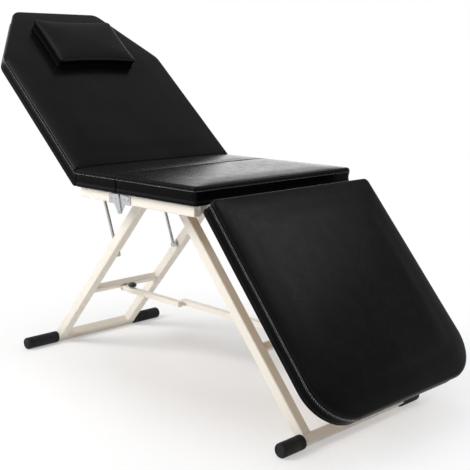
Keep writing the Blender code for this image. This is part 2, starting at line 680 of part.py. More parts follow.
def build_backrest(fold_frame):
    """The backrest, whose axis lies where the undersides meet, so that it comes level when lowered."""
    rise = math.radians(BACK_ANGLE)
    axis_x = -MIDDLE_LENGTH - (CUSHION_HEIGHT - EDGE_ROLL + BACK_AXIS_DROP) * math.tan(rise / 2)
    axis_z = FOLD_DROP - BACK_AXIS_DROP
    back_axis = joint_frame("back_axis", fold_frame, (axis_x, 0.0, axis_z), BACK_ANGLE)
    half, narrow = WIDTH / 2, HEAD_WIDTH / 2
    outline = [
        (BEND_LAP, -half, CUSHION_CORNER),
        (BEND_LAP, half, CUSHION_CORNER),
        (-BACK_TAPER_START, half, BACK_SHOULDER),
        (-BACK_LENGTH, narrow, HEAD_CORNER),
        (-BACK_LENGTH, -narrow, HEAD_CORNER),
        (-BACK_TAPER_START, -half, BACK_SHOULDER),
    ]
    m = BOARD_MARGIN
    board = [
        (-m, m - half, CUSHION_CORNER),
        (-m, half - m, CUSHION_CORNER),
        (-BACK_TAPER_START, half - m, BACK_SHOULDER),
        (m - BACK_LENGTH, narrow - m, 0.0),
        (m - BACK_LENGTH, m - narrow, 0.0),
        (-BACK_TAPER_START, m - half, BACK_SHOULDER),
    ]
    pad = upholstered("back", back_axis, outline, board, BACK_AXIS_DROP)
    wall, left, right = -MIDDLE_LENGTH - GAP, -MIDDLE_LENGTH - 2 * CUSHION_HEIGHT, CUSHION_HEIGHT
    shelf = FOLD_DROP + GAP
    low, high = shelf - 2 * CUSHION_HEIGHT, shelf + 3 * CUSHION_HEIGHT
    step = [(wall, high), (wall, shelf), (left, shelf), (left, low), (right, low), (right, high)]
    cut(pad, prism("bend_cut", fold_frame, step, -WIDTH, WIDTH))
    backrest_hinge(joint_frame("back_hinge_axis", fold_frame, (axis_x, 0.0, axis_z)), back_axis)
    return back_axis, axis_x


def build_struts(back_axis, axis_x, head_leg):
    """The struts from the backrest's board down to the head leg, and the axle and yoke they hang on."""
    rise = math.radians(BACK_ANGLE)
    lug_x, lug_z = -STRUT_LUG_FROM_AXIS, BACK_AXIS_DROP - STRUT_EYE_RADIUS - 2 * GAP
    upper_x = axis_x + lug_x * math.cos(rise) + lug_z * math.sin(rise)
    upper_z = CUSHION_BOTTOM - BACK_AXIS_DROP - lug_x * math.sin(rise) + lug_z * math.cos(rise)
    leg_frame, splay, _ = head_leg
    down_leg = (LEG_PIVOT_HEIGHT - STRUT_FOOT_HEIGHT) / math.sin(splay)
    lower_x = -HEAD_PIVOT_OUT - down_leg * math.cos(splay)
    reach = math.hypot(lower_x - upper_x, upper_z - STRUT_FOOT_HEIGHT)
    lean = math.degrees(math.atan2(upper_z - STRUT_FOOT_HEIGHT, lower_x - upper_x))
    half = STRUT_SPREAD + STRUT_TUBE_RADIUS + STRUT_EYE_EXTRA + PIN_PROUD
    rod = circle((lug_x, lug_z), PIN_RADIUS)
    axle = prism("strut_axle", back_axis, rod, -half, half, smooth=True)
    paint(axle, ZINC)
    for side, sign in TWO_SIDES:
        axis = joint_frame(f"strut_axis_{side}", back_axis, (lug_x, 0.0, lug_z), lean - BACK_ANGLE)
        strut(side, sign, back_axis, axis, reach, lug_z)
        strut_bolt(side, sign, leg_frame, (-down_leg, 0.0))
    half = STRUT_SPREAD - STRUT_TUBE_RADIUS - STRUT_EYE_EXTRA - LUG - GAP - RELIEF
    yoke = rectangle(0.0, YOKE_LENGTH, -PLATE / 2, PLATE / 2)
    join(axle, prism("strut_yoke", axis, yoke, -half, half))


def build_pillow(back_axis):
    """The pillow, loose on the backrest near its head end."""
    base = BACK_AXIS_DROP + CUSHION_HEIGHT + CROWN + GAP
    x1 = PILLOW_FROM_HEAD + PILLOW_LENGTH / 2 - BACK_LENGTH
    corners = panel_corners(x1 - PILLOW_LENGTH, x1, PILLOW_WIDTH / 2, PILLOW_CORNER)
    outline = subdivided(rounded(corners), OUTLINE_STEP)
    border = PILLOW_HEIGHT - PILLOW_CROWN
    paint(cushion("pillow", back_axis, outline, base, border, PILLOW_CROWN, PILLOW_ROLL), FAUX_LEATHER)


def build_leg_rest(table):
    """The leg rest and its support arms, which share one axis below the seat's foot end."""
    axis = (SEAT_LENGTH + LEG_REST_AXIS_OUT, CUSHION_BOTTOM - LEG_REST_AXIS_DROP)
    rest_axis = joint_frame("leg_rest_axis", table, (axis[0], 0.0, axis[1]), LEG_REST_ANGLE)
    half, m = WIDTH / 2, BOARD_MARGIN
    x0, x1 = LEG_REST_GAP, LEG_REST_GAP + LEG_REST_LENGTH
    corners, board = (
        [
            (x0 + inset, inset - half, CUSHION_CORNER),
            (x1 - inset, inset - half, LEG_REST_CORNER - inset),
            (x1 - inset, half - inset, LEG_REST_CORNER - inset),
            (x0 + inset, half - inset, CUSHION_CORNER),
        ]
        for inset in (0.0, m)
    )
    upholstered("leg_rest", rest_axis, corners, board, LEG_REST_AXIS_DROP)
    for side, sign in TWO_SIDES:
        leg_rest_carriage(side, sign, table, rest_axis, axis)
    leg_rest_strap(rest_axis)


def build():
    table = joint_frame("table", None, (0.0, 0.0, 0.0))
    seat_axis = joint_frame("seat_half", table, (0.0, 0.0, FOLD_HEIGHT))
    fold_axis = joint_frame("fold_axis", table, (0.0, 0.0, FOLD_HEIGHT))
    flat_panel("seat", seat_axis, GAP, SEAT_LENGTH, FOLD_DROP)
    flat_panel("middle", fold_axis, -MIDDLE_LENGTH, -GAP, FOLD_DROP)
    rails("seat", seat_axis, RAIL_START, SEAT_RAIL_END, FOLD_DROP)
    rails("middle", fold_axis, -MIDDLE_RAIL_END, -RAIL_START, FOLD_DROP)
    for side, sign in TWO_SIDES:
        fold_hinge(side, sign, seat_axis, fold_axis)
    legs = build_legs(seat_axis, fold_axis)
    build_stretcher(legs)
    back_axis, axis_x = build_backrest(fold_axis)
    build_struts(back_axis, axis_x, legs["head"])
    build_pillow(back_axis)
    build_leg_rest(table)
    centre_over_floor(table)


def centre_over_floor(table):
    """Moves the whole table along X, so that the origin is under the middle of its box."""
    bpy.context.view_layer.update()
    graph = bpy.context.evaluated_depsgraph_get()
    ends = []
    for obj in bpy.context.scene.objects:
        if obj.type == "MESH" and not obj.hide_render:
            made = obj.evaluated_get(graph)
            ends += [(made.matrix_world @ vertex.co).x for vertex in made.data.vertices]
    table.location.x = -(min(ends) + max(ends)) / 2


for old in list(bpy.data.objects):
    bpy.data.objects.remove(old, do_unlink=True)

FAUX_LEATHER = material("faux_leather", (0.022, 0.022, 0.024), 0.42)
PLYWOOD = material("plywood", (0.45, 0.31, 0.18), 0.65)
POWDER_COAT = material("powder_coat", (0.82, 0.78, 0.70), 0.38)
RUBBER = material("rubber", (0.018, 0.018, 0.018), 0.60)
ZINC = material("zinc", (0.62, 0.63, 0.65), 0.32, 1.0)
STEEL = material("steel", (0.55, 0.56, 0.58), 0.24, 1.0)
build()
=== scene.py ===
import json
import math

import bmesh
import bpy
import numpy as np
from bpy.props import FloatProperty, FloatVectorProperty, PointerProperty
from mathutils import Matrix, Vector, noise
from mathutils.bvhtree import BVHTree


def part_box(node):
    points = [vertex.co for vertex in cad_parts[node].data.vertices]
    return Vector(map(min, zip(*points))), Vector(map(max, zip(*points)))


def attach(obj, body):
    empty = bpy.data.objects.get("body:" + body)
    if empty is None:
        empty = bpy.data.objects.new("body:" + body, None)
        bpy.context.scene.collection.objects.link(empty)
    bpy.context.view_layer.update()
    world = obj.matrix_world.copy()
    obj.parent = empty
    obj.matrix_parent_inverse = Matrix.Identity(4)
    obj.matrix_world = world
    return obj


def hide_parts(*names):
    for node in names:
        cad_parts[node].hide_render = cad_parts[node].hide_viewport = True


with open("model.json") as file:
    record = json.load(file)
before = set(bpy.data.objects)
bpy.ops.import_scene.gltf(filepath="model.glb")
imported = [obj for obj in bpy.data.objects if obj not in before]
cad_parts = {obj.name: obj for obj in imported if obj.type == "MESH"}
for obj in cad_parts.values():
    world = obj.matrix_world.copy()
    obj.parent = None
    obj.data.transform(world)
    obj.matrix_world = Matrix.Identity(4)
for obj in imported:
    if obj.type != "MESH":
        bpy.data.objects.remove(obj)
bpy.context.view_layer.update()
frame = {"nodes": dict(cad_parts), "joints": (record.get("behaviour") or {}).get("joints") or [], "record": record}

bl_info = {
    "name": "Folding massage table",
    "version": (1, 0, 0),
    "blender": (4, 5, 0),
    "location": "3D View > Sidebar > Massage table",
    "description": "Dresses the solids of a folding massage table: upholstery, finishes, fittings and stage",
    "category": "Object",
}

NODES = frame["nodes"]
JOINTS = {joint["name"]: joint for joint in frame["joints"]}
SLOT_OF = {sub["node"]: sub["material_slot"] for sub in frame["record"]["subparts"]}
BODY_OF = {
    node: body for body, members in frame["record"]["behaviour"]["bodies"].items() for node in members
}
LEGS = ("head", "foot")
SIDES = {"near": -1, "far": 1}
GAP = 0.0004
UP = Vector((0, 0, 1))


# ---- settings


def length(name, description, default):
    return FloatProperty(name=name, description=description, default=default, unit="LENGTH", precision=5)


def colour(name, description, default):
    return FloatVectorProperty(
        name=name, description=description, default=default, size=3, subtype="COLOR", min=0.0, max=1.0
    )


def angle(name, description, degrees):
    return FloatProperty(name=name, description=description, default=math.radians(degrees), subtype="ANGLE")


class UpholsterySettings(bpy.types.PropertyGroup):
    leather: colour("Leather", "Colour of the faux leather", (0.0034, 0.0034, 0.0036))
    leather_pale: colour("Leather, pale", "Colour where the grain is rubbed", (0.0062, 0.0062, 0.0065))
    thread: colour("Thread", "Colour of the stitching", (0.35, 0.34, 0.325))
    border: length("Border", "Height of a pad from its underside to its top edge", 0.051)
    crown: length("Crown", "Height of a pad's middle above its top edge", 0.0055)
    roll: length("Edge roll", "Radius of a pad's top edge", 0.0075)
    draw_in: length("Draw-in", "How far a pad's border is drawn in at mid height", 0.0032)
    mesh_step: length("Mesh step", "Spacing of the points on a pad", 0.0125)
    pressure: FloatProperty(name="Filling", description="Pressure that swells the pads", default=4.0)
    stitch_pitch: length("Stitch pitch", "Distance from stitch to stitch", 0.0062)
    stitch_length: length("Stitch length", "Length of one stitch", 0.0046)
    stitch_width: length("Stitch width", "Thickness of the thread", 0.0012)
    welt: length("Welt", "Radius of the piping in the seams", 0.0014)


class FrameSettings(bpy.types.PropertyGroup):
    coat: colour("Powder coat", "Colour of the painted tubes", (0.80, 0.745, 0.655))
    zinc: colour("Zinc", "Colour of the plated fittings", (0.60, 0.605, 0.615))
    steel: colour("Steel", "Colour of the axles and rods", (0.55, 0.55, 0.56))
    rubber: colour("Rubber", "Colour of the floor caps and the knob", (0.0095, 0.0095, 0.010))
    plywood: colour("Plywood", "Colour of the boards", (0.50, 0.345, 0.20))
    screw: length("Screw head", "Radius of a screw's head", 0.0040)


class StageSettings(bpy.types.PropertyGroup):
    camera_place: FloatVectorProperty(
        name="Camera", description="Place of the camera", default=(1.9245, -1.7113, 0.9197), subtype="XYZ"
    )
    camera_turn: angle("Turn", "Turn of the camera about the vertical", 46.154)
    camera_tilt: angle("Tilt", "Tilt of the camera up from straight down", 79.054)
    lens: FloatProperty(name="Lens", description="Focal length in millimetres", default=68.16, unit="CAMERA")
    floor: colour("Floor", "Colour of the floor", (0.93, 0.93, 0.93))
    floor_size: length("Floor size", "Half the width of the floor", 14.0)


class TableSettings(bpy.types.PropertyGroup):
    upholstery: PointerProperty(type=UpholsterySettings)
    frame: PointerProperty(type=FrameSettings)
    stage: PointerProperty(type=StageSettings)


def settings():
    return bpy.context.scene.massage_table


# ---- meshes


def add_object(name, mesh, materials=()):
    obj = bpy.data.objects.new(name, mesh)
    bpy.context.scene.collection.objects.link(obj)
    for material in materials:
        mesh.materials.append(material)
    return obj


def mesh_from(name, points, faces, edges=()):
    mesh = bpy.data.meshes.new(name)
    mesh.from_pydata([tuple(point) for point in points], edges, faces)
    mesh.update()
    return mesh


def shade_smooth(mesh, sharp=None):
    """Smooth shading, with the edges beyond an angle in degrees kept sharp."""
    mesh.polygons.foreach_set("use_smooth", [True] * len(mesh.polygons))
    if sharp is not None:
        mesh.set_sharp_from_angle(angle=math.radians(sharp))
    mesh.update()


def baked(obj):
    """Replaces an object's mesh by its evaluated mesh, and removes its modifiers."""
    graph = bpy.context.evaluated_depsgraph_get()
    mesh = bpy.data.meshes.new_from_object(obj.evaluated_get(graph), depsgraph=graph)
    obj.modifiers.clear()
    old, obj.data = obj.data, mesh
    bpy.data.meshes.remove(old)
    return obj


def joined(name, shapes):
    """One mesh from (points, faces) shapes, with doubled points merged and the faces turned alike."""
    points, faces = [], []
    for shape_points, shape_faces in shapes:
        start = len(points)
        points += shape_points
        faces += [tuple(start + index for index in face) for face in shape_faces]
    mesh = mesh_from(name, points, faces)
    bm = bmesh.new()
    bm.from_mesh(mesh)
    bmesh.ops.remove_doubles(bm, verts=bm.verts, dist=1e-6)
    bmesh.ops.recalc_face_normals(bm, faces=bm.faces)
    bm.to_mesh(mesh)
    bm.free()
    mesh.update()
    return mesh


def around(sides):
    """The cosine and sine of each of a circle's points."""
    turns = [2 * math.pi * side / sides for side in range(sides)]
    return [(math.cos(turn), math.sin(turn)) for turn in turns]


def lathe(profile, place, sides):
    """A closed turned shape. The profile holds (along, radius), and place turns Z to its axis."""
    points, rings, faces = [], [], []
    for along, radius in profile:
        circle = around(sides) if radius > 1e-6 else [(0, 0)]
        rings.append(range(len(points), len(points) + len(circle)))
        points += [place @ Vector((radius * x, radius * y, along)) for x, y in circle]
    for lower, upper in zip(rings, rings[1:]):
        for side in range(sides):
            after = (side + 1) % sides
            quad = [lower[side % len(lower)], lower[after % len(lower)]]
            quad += [upper[after % len(upper)], upper[side % len(upper)]]
            faces.append(tuple(dict.fromkeys(quad)))
    return points, [face for face in faces if len(face) > 2]


def skin(rings):
    """A closed shape over rings of equal count, its last face the cap on the last ring."""
    count = len(rings[0])
    points = [point for ring in rings for point in ring]
    last = len(points) - count
    faces = []
    for start in range(0, last, count):
        for here in range(start, start + count):
            after = start + (here + 1 - start) % count
            faces.append((here, after, after + count, here + count))
    return points, faces + [tuple(range(count))[::-1], tuple(range(last, last + count))]


def square_ring(half, other, radius, steps=4):
    """A rectangle with rounded corners, turning left."""
    points = []
    for corner, (sx, sy) in enumerate(((1, -1), (1, 1), (-1, 1), (-1, -1))):
        for step in range(steps + 1):
            turn = math.radians(90 * corner - 90 + 90 * step / steps)
            x = sx * (half - radius) + radius * math.cos(turn)
            points.append((x, sy * (other - radius) + radius * math.sin(turn)))
    return points


def points_of(mesh):
    points = np.empty(len(mesh.vertices) * 3)
    mesh.vertices.foreach_get("co", points)
    return points.reshape(-1, 3)


def surface_of(obj):
    bm = bmesh.new()
    bm.from_mesh(obj.data)
    tree = BVHTree.FromBMesh(bm)
    bm.free()
    return tree


# ---- the CAD's places


def node_points(node, matrix=Matrix.Identity(4)):
    """The places of a CAD node's points, after a matrix."""
    matrix = np.array(matrix)
    return points_of(NODES[node].data) @ matrix[:3, :3].T + matrix[:3, 3]


def box_of(node):
    """The lowest corner, the highest corner and the middle of a CAD node."""
    low, high = (Vector(corner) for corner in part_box(node))
    return low, high, (low + high) / 2


def tilt_of(joint):
    """How far a tilting pad stands turned down from level."""
    return -math.radians(JOINTS[joint]["range_deg"][0])


def tilted(joint):
    """The frame of a tilting pad, at its hinge."""
    return Matrix.Translation(JOINTS[joint]["pos_m"]) @ Matrix.Rotation(tilt_of(joint), 4, "Y")


def frame_of(place, along, across):
    """The matrix whose Z runs along and whose X runs across, at a place."""
    along, across = Vector(along).normalized(), Vector(across).normalized()
    side = along.cross(across)
    return Matrix.Translation(place) @ Matrix((across, side, along)).transposed().to_4x4()


def leg_axes(leg):
    """Pivot, foot, and the unit vectors up a leg's uprights and square to them, in the table's long plane."""
    pivot = Vector(JOINTS[f"{leg}_leg_fold"]["pos_m"])
    foot = box_of(f"{leg}_floor_bar")[2]
    foot.y = 0
    up = (pivot - foot).normalized()
    return pivot, foot, up, Vector((-up.z, 0, up.x))


def finish_piece(obj, body, slot, *nodes):
    """The piece rides on its body and stands for the CAD nodes, which it hides; the slot is not used."""
    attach(obj, body)
    if nodes:
        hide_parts(*nodes)


def make_piece(name, shapes, sharp, coat, body, slot, *nodes):
    """A piece of (points, faces) shapes in one finish, its edges sharp beyond an angle."""
    mesh = joined(name, shapes)
    shade_smooth(mesh, sharp)
    finish_piece(add_object(name, mesh, [finish(coat)]), body, slot, *nodes)


# ---- materials


class Nodes:
    """A node tree, with one call that adds a node, sets its values and feeds its sockets."""

    def __init__(self, tree):
        self.tree = tree

    def feed(self, socket, source):
        if isinstance(source, bpy.types.NodeSocket):
            self.tree.links.new(source, socket)
        else:
            socket.default_value = source

    def add(self, kind, feeds=(), **values):
        node = self.tree.nodes.new(kind)
        for key, value in values.items():
            setattr(node, key, value)
        for key, source in dict(feeds).items():
            self.feed(node.inputs[key], source)
        return node

    def out(self, kind, feeds=(), pick=0, **values):
        """Adds a node and returns the picked output."""
        return self.add(kind, feeds, **values).outputs[pick]

    def seen(self):
        """One for rays of the camera and for mirrored or refracted ones, zero for scattered light."""
        rays = self.add("ShaderNodeLightPath").outputs
        share = rays["Is Camera Ray"]
        for kind in ("Is Glossy Ray", "Is Transmission Ray"):
            share = self.out("ShaderNodeMath", {0: share, 1: rays[kind]}, operation="MAXIMUM")
        return share


class Shader(Nodes):
    """A material's nodes, with short calls for the nodes that the finishes share."""

    def __init__(self, name):
        self.material = bpy.data.materials.new(name)
        self.material.use_nodes = True
        super().__init__(self.material.node_tree)
        self.surface = self.tree.nodes["Principled BSDF"]
        self.place = self.out("ShaderNodeTexCoord", pick="Object")

    def mapping(self, turn=(0, 0, 0), scale=(1, 1, 1), vector=None):
        feeds = {"Vector": vector or self.place, "Rotation": turn, "Scale": scale}
        return self.out("ShaderNodeMapping", feeds)

    def noise(self, scale, detail=2.0, roughness=0.5, distortion=0.0, vector=None):
        feeds = {"Scale": scale, "Detail": detail, "Roughness": roughness, "Distortion": distortion}
        return self.out("ShaderNodeTexNoise", {**feeds, "Vector": vector or self.place}, "Fac")

    def cells(self, scale, feature="F1"):
        feeds = {"Scale": scale, "Vector": self.place}
        return self.out("ShaderNodeTexVoronoi", feeds, "Distance", feature=feature)

    def spread(self, value, low, high, start=0.0, end=1.0):
        """The range from start to end, spread over low to high."""
        feeds = {"Value": value, "From Min": start, "From Max": end, "To Min": low, "To Max": high}
        return self.out("ShaderNodeMapRange", feeds)

    def mix(self, factor, first, second):
        feeds = {0: factor, 6: first, 7: second}
        for key in (6, 7):
            if not isinstance(feeds[key], bpy.types.NodeSocket):
                feeds[key] = (*feeds[key], 1.0)
        return self.out("ShaderNodeMix", feeds, 2, data_type="RGBA")

    def bump(self, height, strength, distance, under=None):
        feeds = {"Height": height, "Strength": strength, "Distance": distance}
        return self.out("ShaderNodeBump", {**feeds, "Normal": under} if under else feeds)

    def dress(self, tone, rough, **others):
        """The material, its surface's other sockets named with underscores."""
        for key, value in {"Base_Color": tone, "Roughness": rough, **others}.items():
            self.feed(self.surface.inputs[key.replace("_", " ")], value)
        return self.material


def shaded(tone, share):
    return tuple(part * share for part in tone)


def faux_leather(shader, gloss, share):
    """Black vinyl with a fine grain, with its gloss and its share of the leather's tone; a share below one makes a
    darker copy that is painted shade.
    """
    looks = settings().upholstery
    plain, pale = shaded(looks.leather, share), shaded(looks.leather_pale, share)
    pebble, pore = shader.cells(520, "SMOOTH_F1"), shader.noise(2600)
    crease, patch = shader.noise(38, 4, 0.6, 0.8), shader.noise(7, 3)
    tone = shader.mix(shader.spread(patch, 0.0, 1.0, 0.35, 0.7), plain, pale)
    tone = shader.mix(shader.spread(pebble, 0.0, 0.35, 0.2, 0.9), tone, shaded(plain, 0.55))
    normal = shader.bump(crease, 0.03, 0.002)
    normal = shader.bump(pebble, 0.06, 0.0004, normal)
    normal = shader.bump(pore, 0.04, 0.0002, normal)
    rough = shader.spread(crease, 0.22, 0.30, 0.3, 0.7)
    return shader.dress(tone, rough, Normal=normal, Specular_IOR_Level=gloss)


def thread(shader):
    tone = settings().upholstery.thread
    ply = shader.noise(900)
    tone = shader.mix(ply, shaded(tone, 0.72), tone)
    return shader.dress(tone, shader.spread(ply, 0.6, 0.85), Normal=shader.bump(ply, 0.5, 0.0004))


def powder_coat(shader):
    coat = settings().frame.coat
    peel, patch = shader.noise(620), shader.noise(9, 3)
    scuff = shader.noise(120, 5, 0.72, 0.4, shader.mapping(scale=(1, 1, 0.35)))
    tone = shader.mix(patch, shaded(coat, 0.965), coat)
    tone = shader.mix(shader.spread(scuff, 0.0, 0.35, 0.66, 0.80), tone, shaded(coat, 0.62))
    rough, normal = shader.spread(peel, 0.34, 0.48), shader.bump(peel, 0.16, 0.0005)
    return shader.dress(tone, rough, Normal=normal, Coat_Weight=0.12, Coat_Roughness=0.25)


def plated(shader, metal, low, high):
    """A plated or drawn metal, with the streaks of its rolling and a soft spangle."""
    plain = getattr(settings().frame, metal)
    streak = shader.noise(260, 3, 0.6, 0.0, shader.mapping(scale=(0.08, 1, 1)))
    stain = shader.noise(26, 4)
    tone = shader.mix(shader.cells(170), shaded(plain, 0.86), plain)
    tone = shader.mix(shader.spread(stain, 0.0, 0.4, 0.58, 0.8), tone, shaded(plain, 0.55))
    rough = shader.spread(streak, low, high, 0.3, 0.7)
    return shader.dress(tone, rough, Metallic=1.0, Normal=shader.bump(streak, 0.06, 0.0003))


def rubber(shader):
    plain = settings().frame.rubber
    grit, dust = shader.noise(1400, 3), shader.noise(60, 4)
    tone = shader.mix(shader.spread(dust, 0.0, 1.0, 0.4, 0.75), plain, shaded(plain, 2.1))
    rough, normal = shader.spread(dust, 0.52, 0.74), shader.bump(grit, 0.22, 0.0004)
    return shader.dress(tone, rough, Normal=normal, Specular_IOR_Level=0.2)


def moulded_plastic(shader):
    plain = settings().frame.rubber
    grain = shader.noise(1100)
    tone = shader.mix(grain, plain, shaded(plain, 1.6))
    return shader.dress(tone, shader.spread(grain, 0.34, 0.46), Normal=shader.bump(grain, 0.15, 0.0003))


def plywood(shader, joint=None):
    """Bare birch plywood, its face grain along the table and its plies turned with the board on the joint."""
    plain = settings().frame.plywood
    turned = shader.mapping(turn=(0, -tilt_of(joint) if joint else 0.0, 0))
    grain = shader.noise(1.0, 5, 0.62, 1.6, shader.mapping(scale=(2.2, 46.0, 160.0), vector=turned))
    flame = shader.noise(4.5, 2, 0.5, 2.2, turned)
    tone = shader.mix(shader.spread(grain, 0.0, 1.0, 0.3, 0.7), shaded(plain, 0.74), plain)
    tone = shader.mix(shader.spread(flame, 0.0, 0.35, 0.45, 0.75), tone, shaded(plain, 0.60))
    return shader.dress(tone, shader.spread(grain, 0.55, 0.75), Normal=shader.bump(grain, 0.25, 0.0006))


MAKERS = {
    "faux_leather": (faux_leather, 0.075, 1.0),
    # the border's matt vinyl: its lower gloss is the vinyl's, its tone at seven tenths of the leather's is painted
    # shade on the sideways faces
    "faux_leather_band": (faux_leather, 0.022, 0.7),
    "thread": (thread,),
    "powder_coat": (powder_coat,),
    "zinc": (plated, "zinc", 0.30, 0.46),
    "steel": (plated, "steel", 0.20, 0.34),
    "rubber": (rubber,),
    "moulded_plastic": (moulded_plastic,),
    "plywood": (plywood,),
    "plywood_back": (plywood, "backrest_tilt"),
    "plywood_leg_rest": (plywood, "leg_rest_tilt"),
}


def finish(name):
    """The material of that name, made when it is first asked for."""
    found = bpy.data.materials.get(name)
    if found and found.get("table_finish"):
        return found
    if found:
        found.name = f"cad_{name}"
    maker, *values = MAKERS[name]
    material = maker(Shader(name), *values)
    material["table_finish"] = True
    return material


# ---- node trees for what repeats


class Tree(Nodes):
    """A geometry node tree with named inputs, fed by the object it is laid on."""

    def __init__(self, name, pieces=(), **numbers):
        super().__init__(bpy.data.node_groups.new(name, "GeometryNodeTree"))
        self.names = {}
        self.socket("Geometry", "Geometry")
        for label, value in numbers.items():
            self.socket(label, "Float").default_value = value
        for label in pieces:
            self.socket(label, "Object")
        self.socket("Material", "Material")
        self.socket("Geometry", "Geometry", "OUTPUT")
        self.given = self.add("NodeGroupInput").outputs
        self.result = self.add("NodeGroupOutput")

    def socket(self, label, kind, way="INPUT"):
        made = self.tree.interface.new_socket(label, in_out=way, socket_type=f"NodeSocket{kind}")
        self.names[label] = made.identifier
        return made

    def finish(self, geometry):
        """Closes the tree with real geometry in the given material."""
        real = self.out("GeometryNodeRealizeInstances", {"Geometry": geometry})
        smooth = self.out("GeometryNodeSetShadeSmooth", {"Geometry": real})
        feeds = {"Geometry": smooth, "Material": self.given["Material"]}
        self.feed(self.result.inputs[0], self.out("GeometryNodeSetMaterial", feeds))
        return self

    def lay(self, name, mesh, coat, body, slot, **values):
        """Lays the tree on a mesh and makes the result a piece in one finish."""
        obj = add_object(name, mesh)
        modifier = obj.modifiers.new("Pattern", "NODES")
        modifier.node_group = self.tree
        for label, value in {**values, "Material": finish(coat)}.items():
            modifier[self.names[label]] = value
        bpy.context.view_layer.update()
        finish_piece(baked(obj), body, slot)
        return obj


def stitch_tree():
    tree = Tree("stitches", Pitch=0.006, Length=0.005, Width=0.001)
    given = tree.given
    curve = tree.out("GeometryNodeMeshToCurve", {"Mesh": given["Geometry"]})
    feeds = {"Curve": curve, "Length": given["Pitch"]}
    points = tree.add("GeometryNodeCurveToPoints", feeds, mode="LENGTH").outputs
    turn = tree.out("FunctionNodeAlignRotationToVector", {"Vector": points["Tangent"]}, axis="X")
    size = tree.out("ShaderNodeCombineXYZ", {"X": given["Length"], "Y": given["Width"], "Z": given["Width"]})
    bead = tree.out("GeometryNodeMeshUVSphere", {"Segments": 8, "Rings": 6, "Radius": 0.5})
    feeds = {"Points": points["Points"], "Instance": bead, "Rotation": turn, "Scale": size}
    return tree.finish(tree.out("GeometryNodeInstanceOnPoints", feeds))


def cord_tree(name, waver):
    """A round cord along each path, its radius wavering by a share, as in a welt or a weld bead."""
    tree = Tree(name, Radius=0.0015, Step=0.004)
    curve = tree.out("GeometryNodeMeshToCurve", {"Mesh": tree.given["Geometry"]})
    feeds = {"Curve": curve, "Length": tree.given["Step"]}
    even = tree.out("GeometryNodeResampleCurve", feeds, mode="LENGTH")
    feeds = {"Min": 1.0 - waver, "Max": 1.0 + waver, "Seed": 5}
    wander = tree.out("FunctionNodeRandomValue", feeds, "Value")
    wide = tree.out("GeometryNodeSetCurveRadius", {"Curve": even, "Radius": wander})
    ring = tree.out("GeometryNodeCurvePrimitiveCircle", {"Resolution": 8, "Radius": tree.given["Radius"]})
    feeds = {"Curve": wide, "Profile Curve": ring, "Scale": wander, "Fill Caps": True}
    return tree.finish(tree.out("GeometryNodeCurveToMesh", feeds))


def fastener_tree():
    """One fastener on each point, its Z along the point's facing and its X along the point's run."""
    tree = Tree("fasteners", ["Fastener"])
    feeds = {"Object": tree.given["Fastener"], "As Instance": False}
    piece = tree.out("GeometryNodeObjectInfo", feeds, "Geometry")
    facing, run = (
        tree.out("GeometryNodeInputNamedAttribute", {"Name": name}, "Attribute", data_type="FLOAT_VECTOR")
        for name in ("facing", "run")
    )
    stand = tree.out("FunctionNodeAlignRotationToVector", {"Vector": facing}, axis="Z")
    feeds = {"Rotation": stand, "Vector": run}
    turn = tree.out("FunctionNodeAlignRotationToVector", feeds, axis="X", pivot_axis="Z")
    feeds = {"Points": tree.given["Geometry"], "Instance": piece, "Rotation": turn}
    return tree.finish(tree.out("GeometryNodeInstanceOnPoints", feeds))


def path_mesh(name, paths):
    """Edges along each (points, closed) path."""
    points, edges = [], []
    for path, closed in paths:
        start, count = len(points), len(path)
        points += path
        edges += [(start + index, start + index + 1) for index in range(count - 1)]
        if closed:
            edges.append((start + count - 1, start))
    return mesh_from(name, points, [], edges)


def fastener_points(name, spots):
    """Points with the facing and the run of each (place, facing, run) spot."""
    mesh = mesh_from(name, [spot[0] for spot in spots], [])
    for column, label in ((1, "facing"), (2, "run")):
        layer = mesh.attributes.new(label, "FLOAT_VECTOR", "POINT")
        layer.data.foreach_set("vector", np.array([spot[column] for spot in spots], np.float32).ravel())
    return mesh


# ---- pads

# (inset, depth) rows down a pad's border: round the rolled edge, both in rolls
ROLL_ROWS = ((1.0, 0.0), (0.62, 0.07), (0.29, 0.29), (0.07, 0.64), (0.0, 1.0))
# through the seam's groove, in metres and rolls
SEAM_ROWS = ((0.0004, 1.18), (0.0021, 1.30), (0.0005, 1.42), (0.0004, 1.75))
SEAM_DEPTH = 1.30
# (inset, height) rows: down the drawn-in border, in draw-ins and pad heights
BORDER_ROWS = ((0.55, 0.66), (1.0, 0.47), (0.75, 0.26), (0.2, 0.15))
# round the hem, in metres and pad heights
HEM_ROWS = ((0.0006, 0.085), (0.0024, 0.03), (0.0060, 0.0))
# depths of the stitch rows below the seam, in rolls: a pad has the first, a twin-sewn pad both
STITCH_DEPTHS = (0.42, 1.10)
WELT_STEP = 0.006
# the back pad's mitre starts this far from its end
MITRE_REACH = 0.14
# an end that abuts another pad takes this share of an inset, and its corners are sharp
ABUT, SHARP = 0.3, 0.005
# radii of the other corners, half the back's width at its head, and where its knee lies from the hinge
SQUARE, HEAD_CORNER, KNEE_CORNER, FOOT_CORNER = 0.012, 0.035, 0.060, 0.110
HEAD_HALF, KNEE = 0.160, -0.503
# (inset, share of the height) rows down the pillow's border, with a welt on two of them
PILLOW_ROWS = (
    (0.0012, 0.955), (0.0, 0.90), (0.0016, 0.83), (0.0012, 0.62), (0.0020, 0.40), (0.0014, 0.20), (0.0, 0.12),
    (0.0016, 0.04),
)
PILLOW_WELTS = (0.90, 0.12)
PILLOW_EDGE, PILLOW_HEM = 0.004, 0.005
# shares by which the pillow's sides and ends are drawn in between its corners
PINCH, SLACK = 0.020, 0.075
# how fast a point is freed to the filling inwards of the seam
PAD_EASE, PILLOW_EASE = 3.0, 2.5
# the furthest that the filling moves a point: on a pad in crowns, on the pillow in metres
PAD_MOST, PILLOW_MOST = 0.35, 0.005
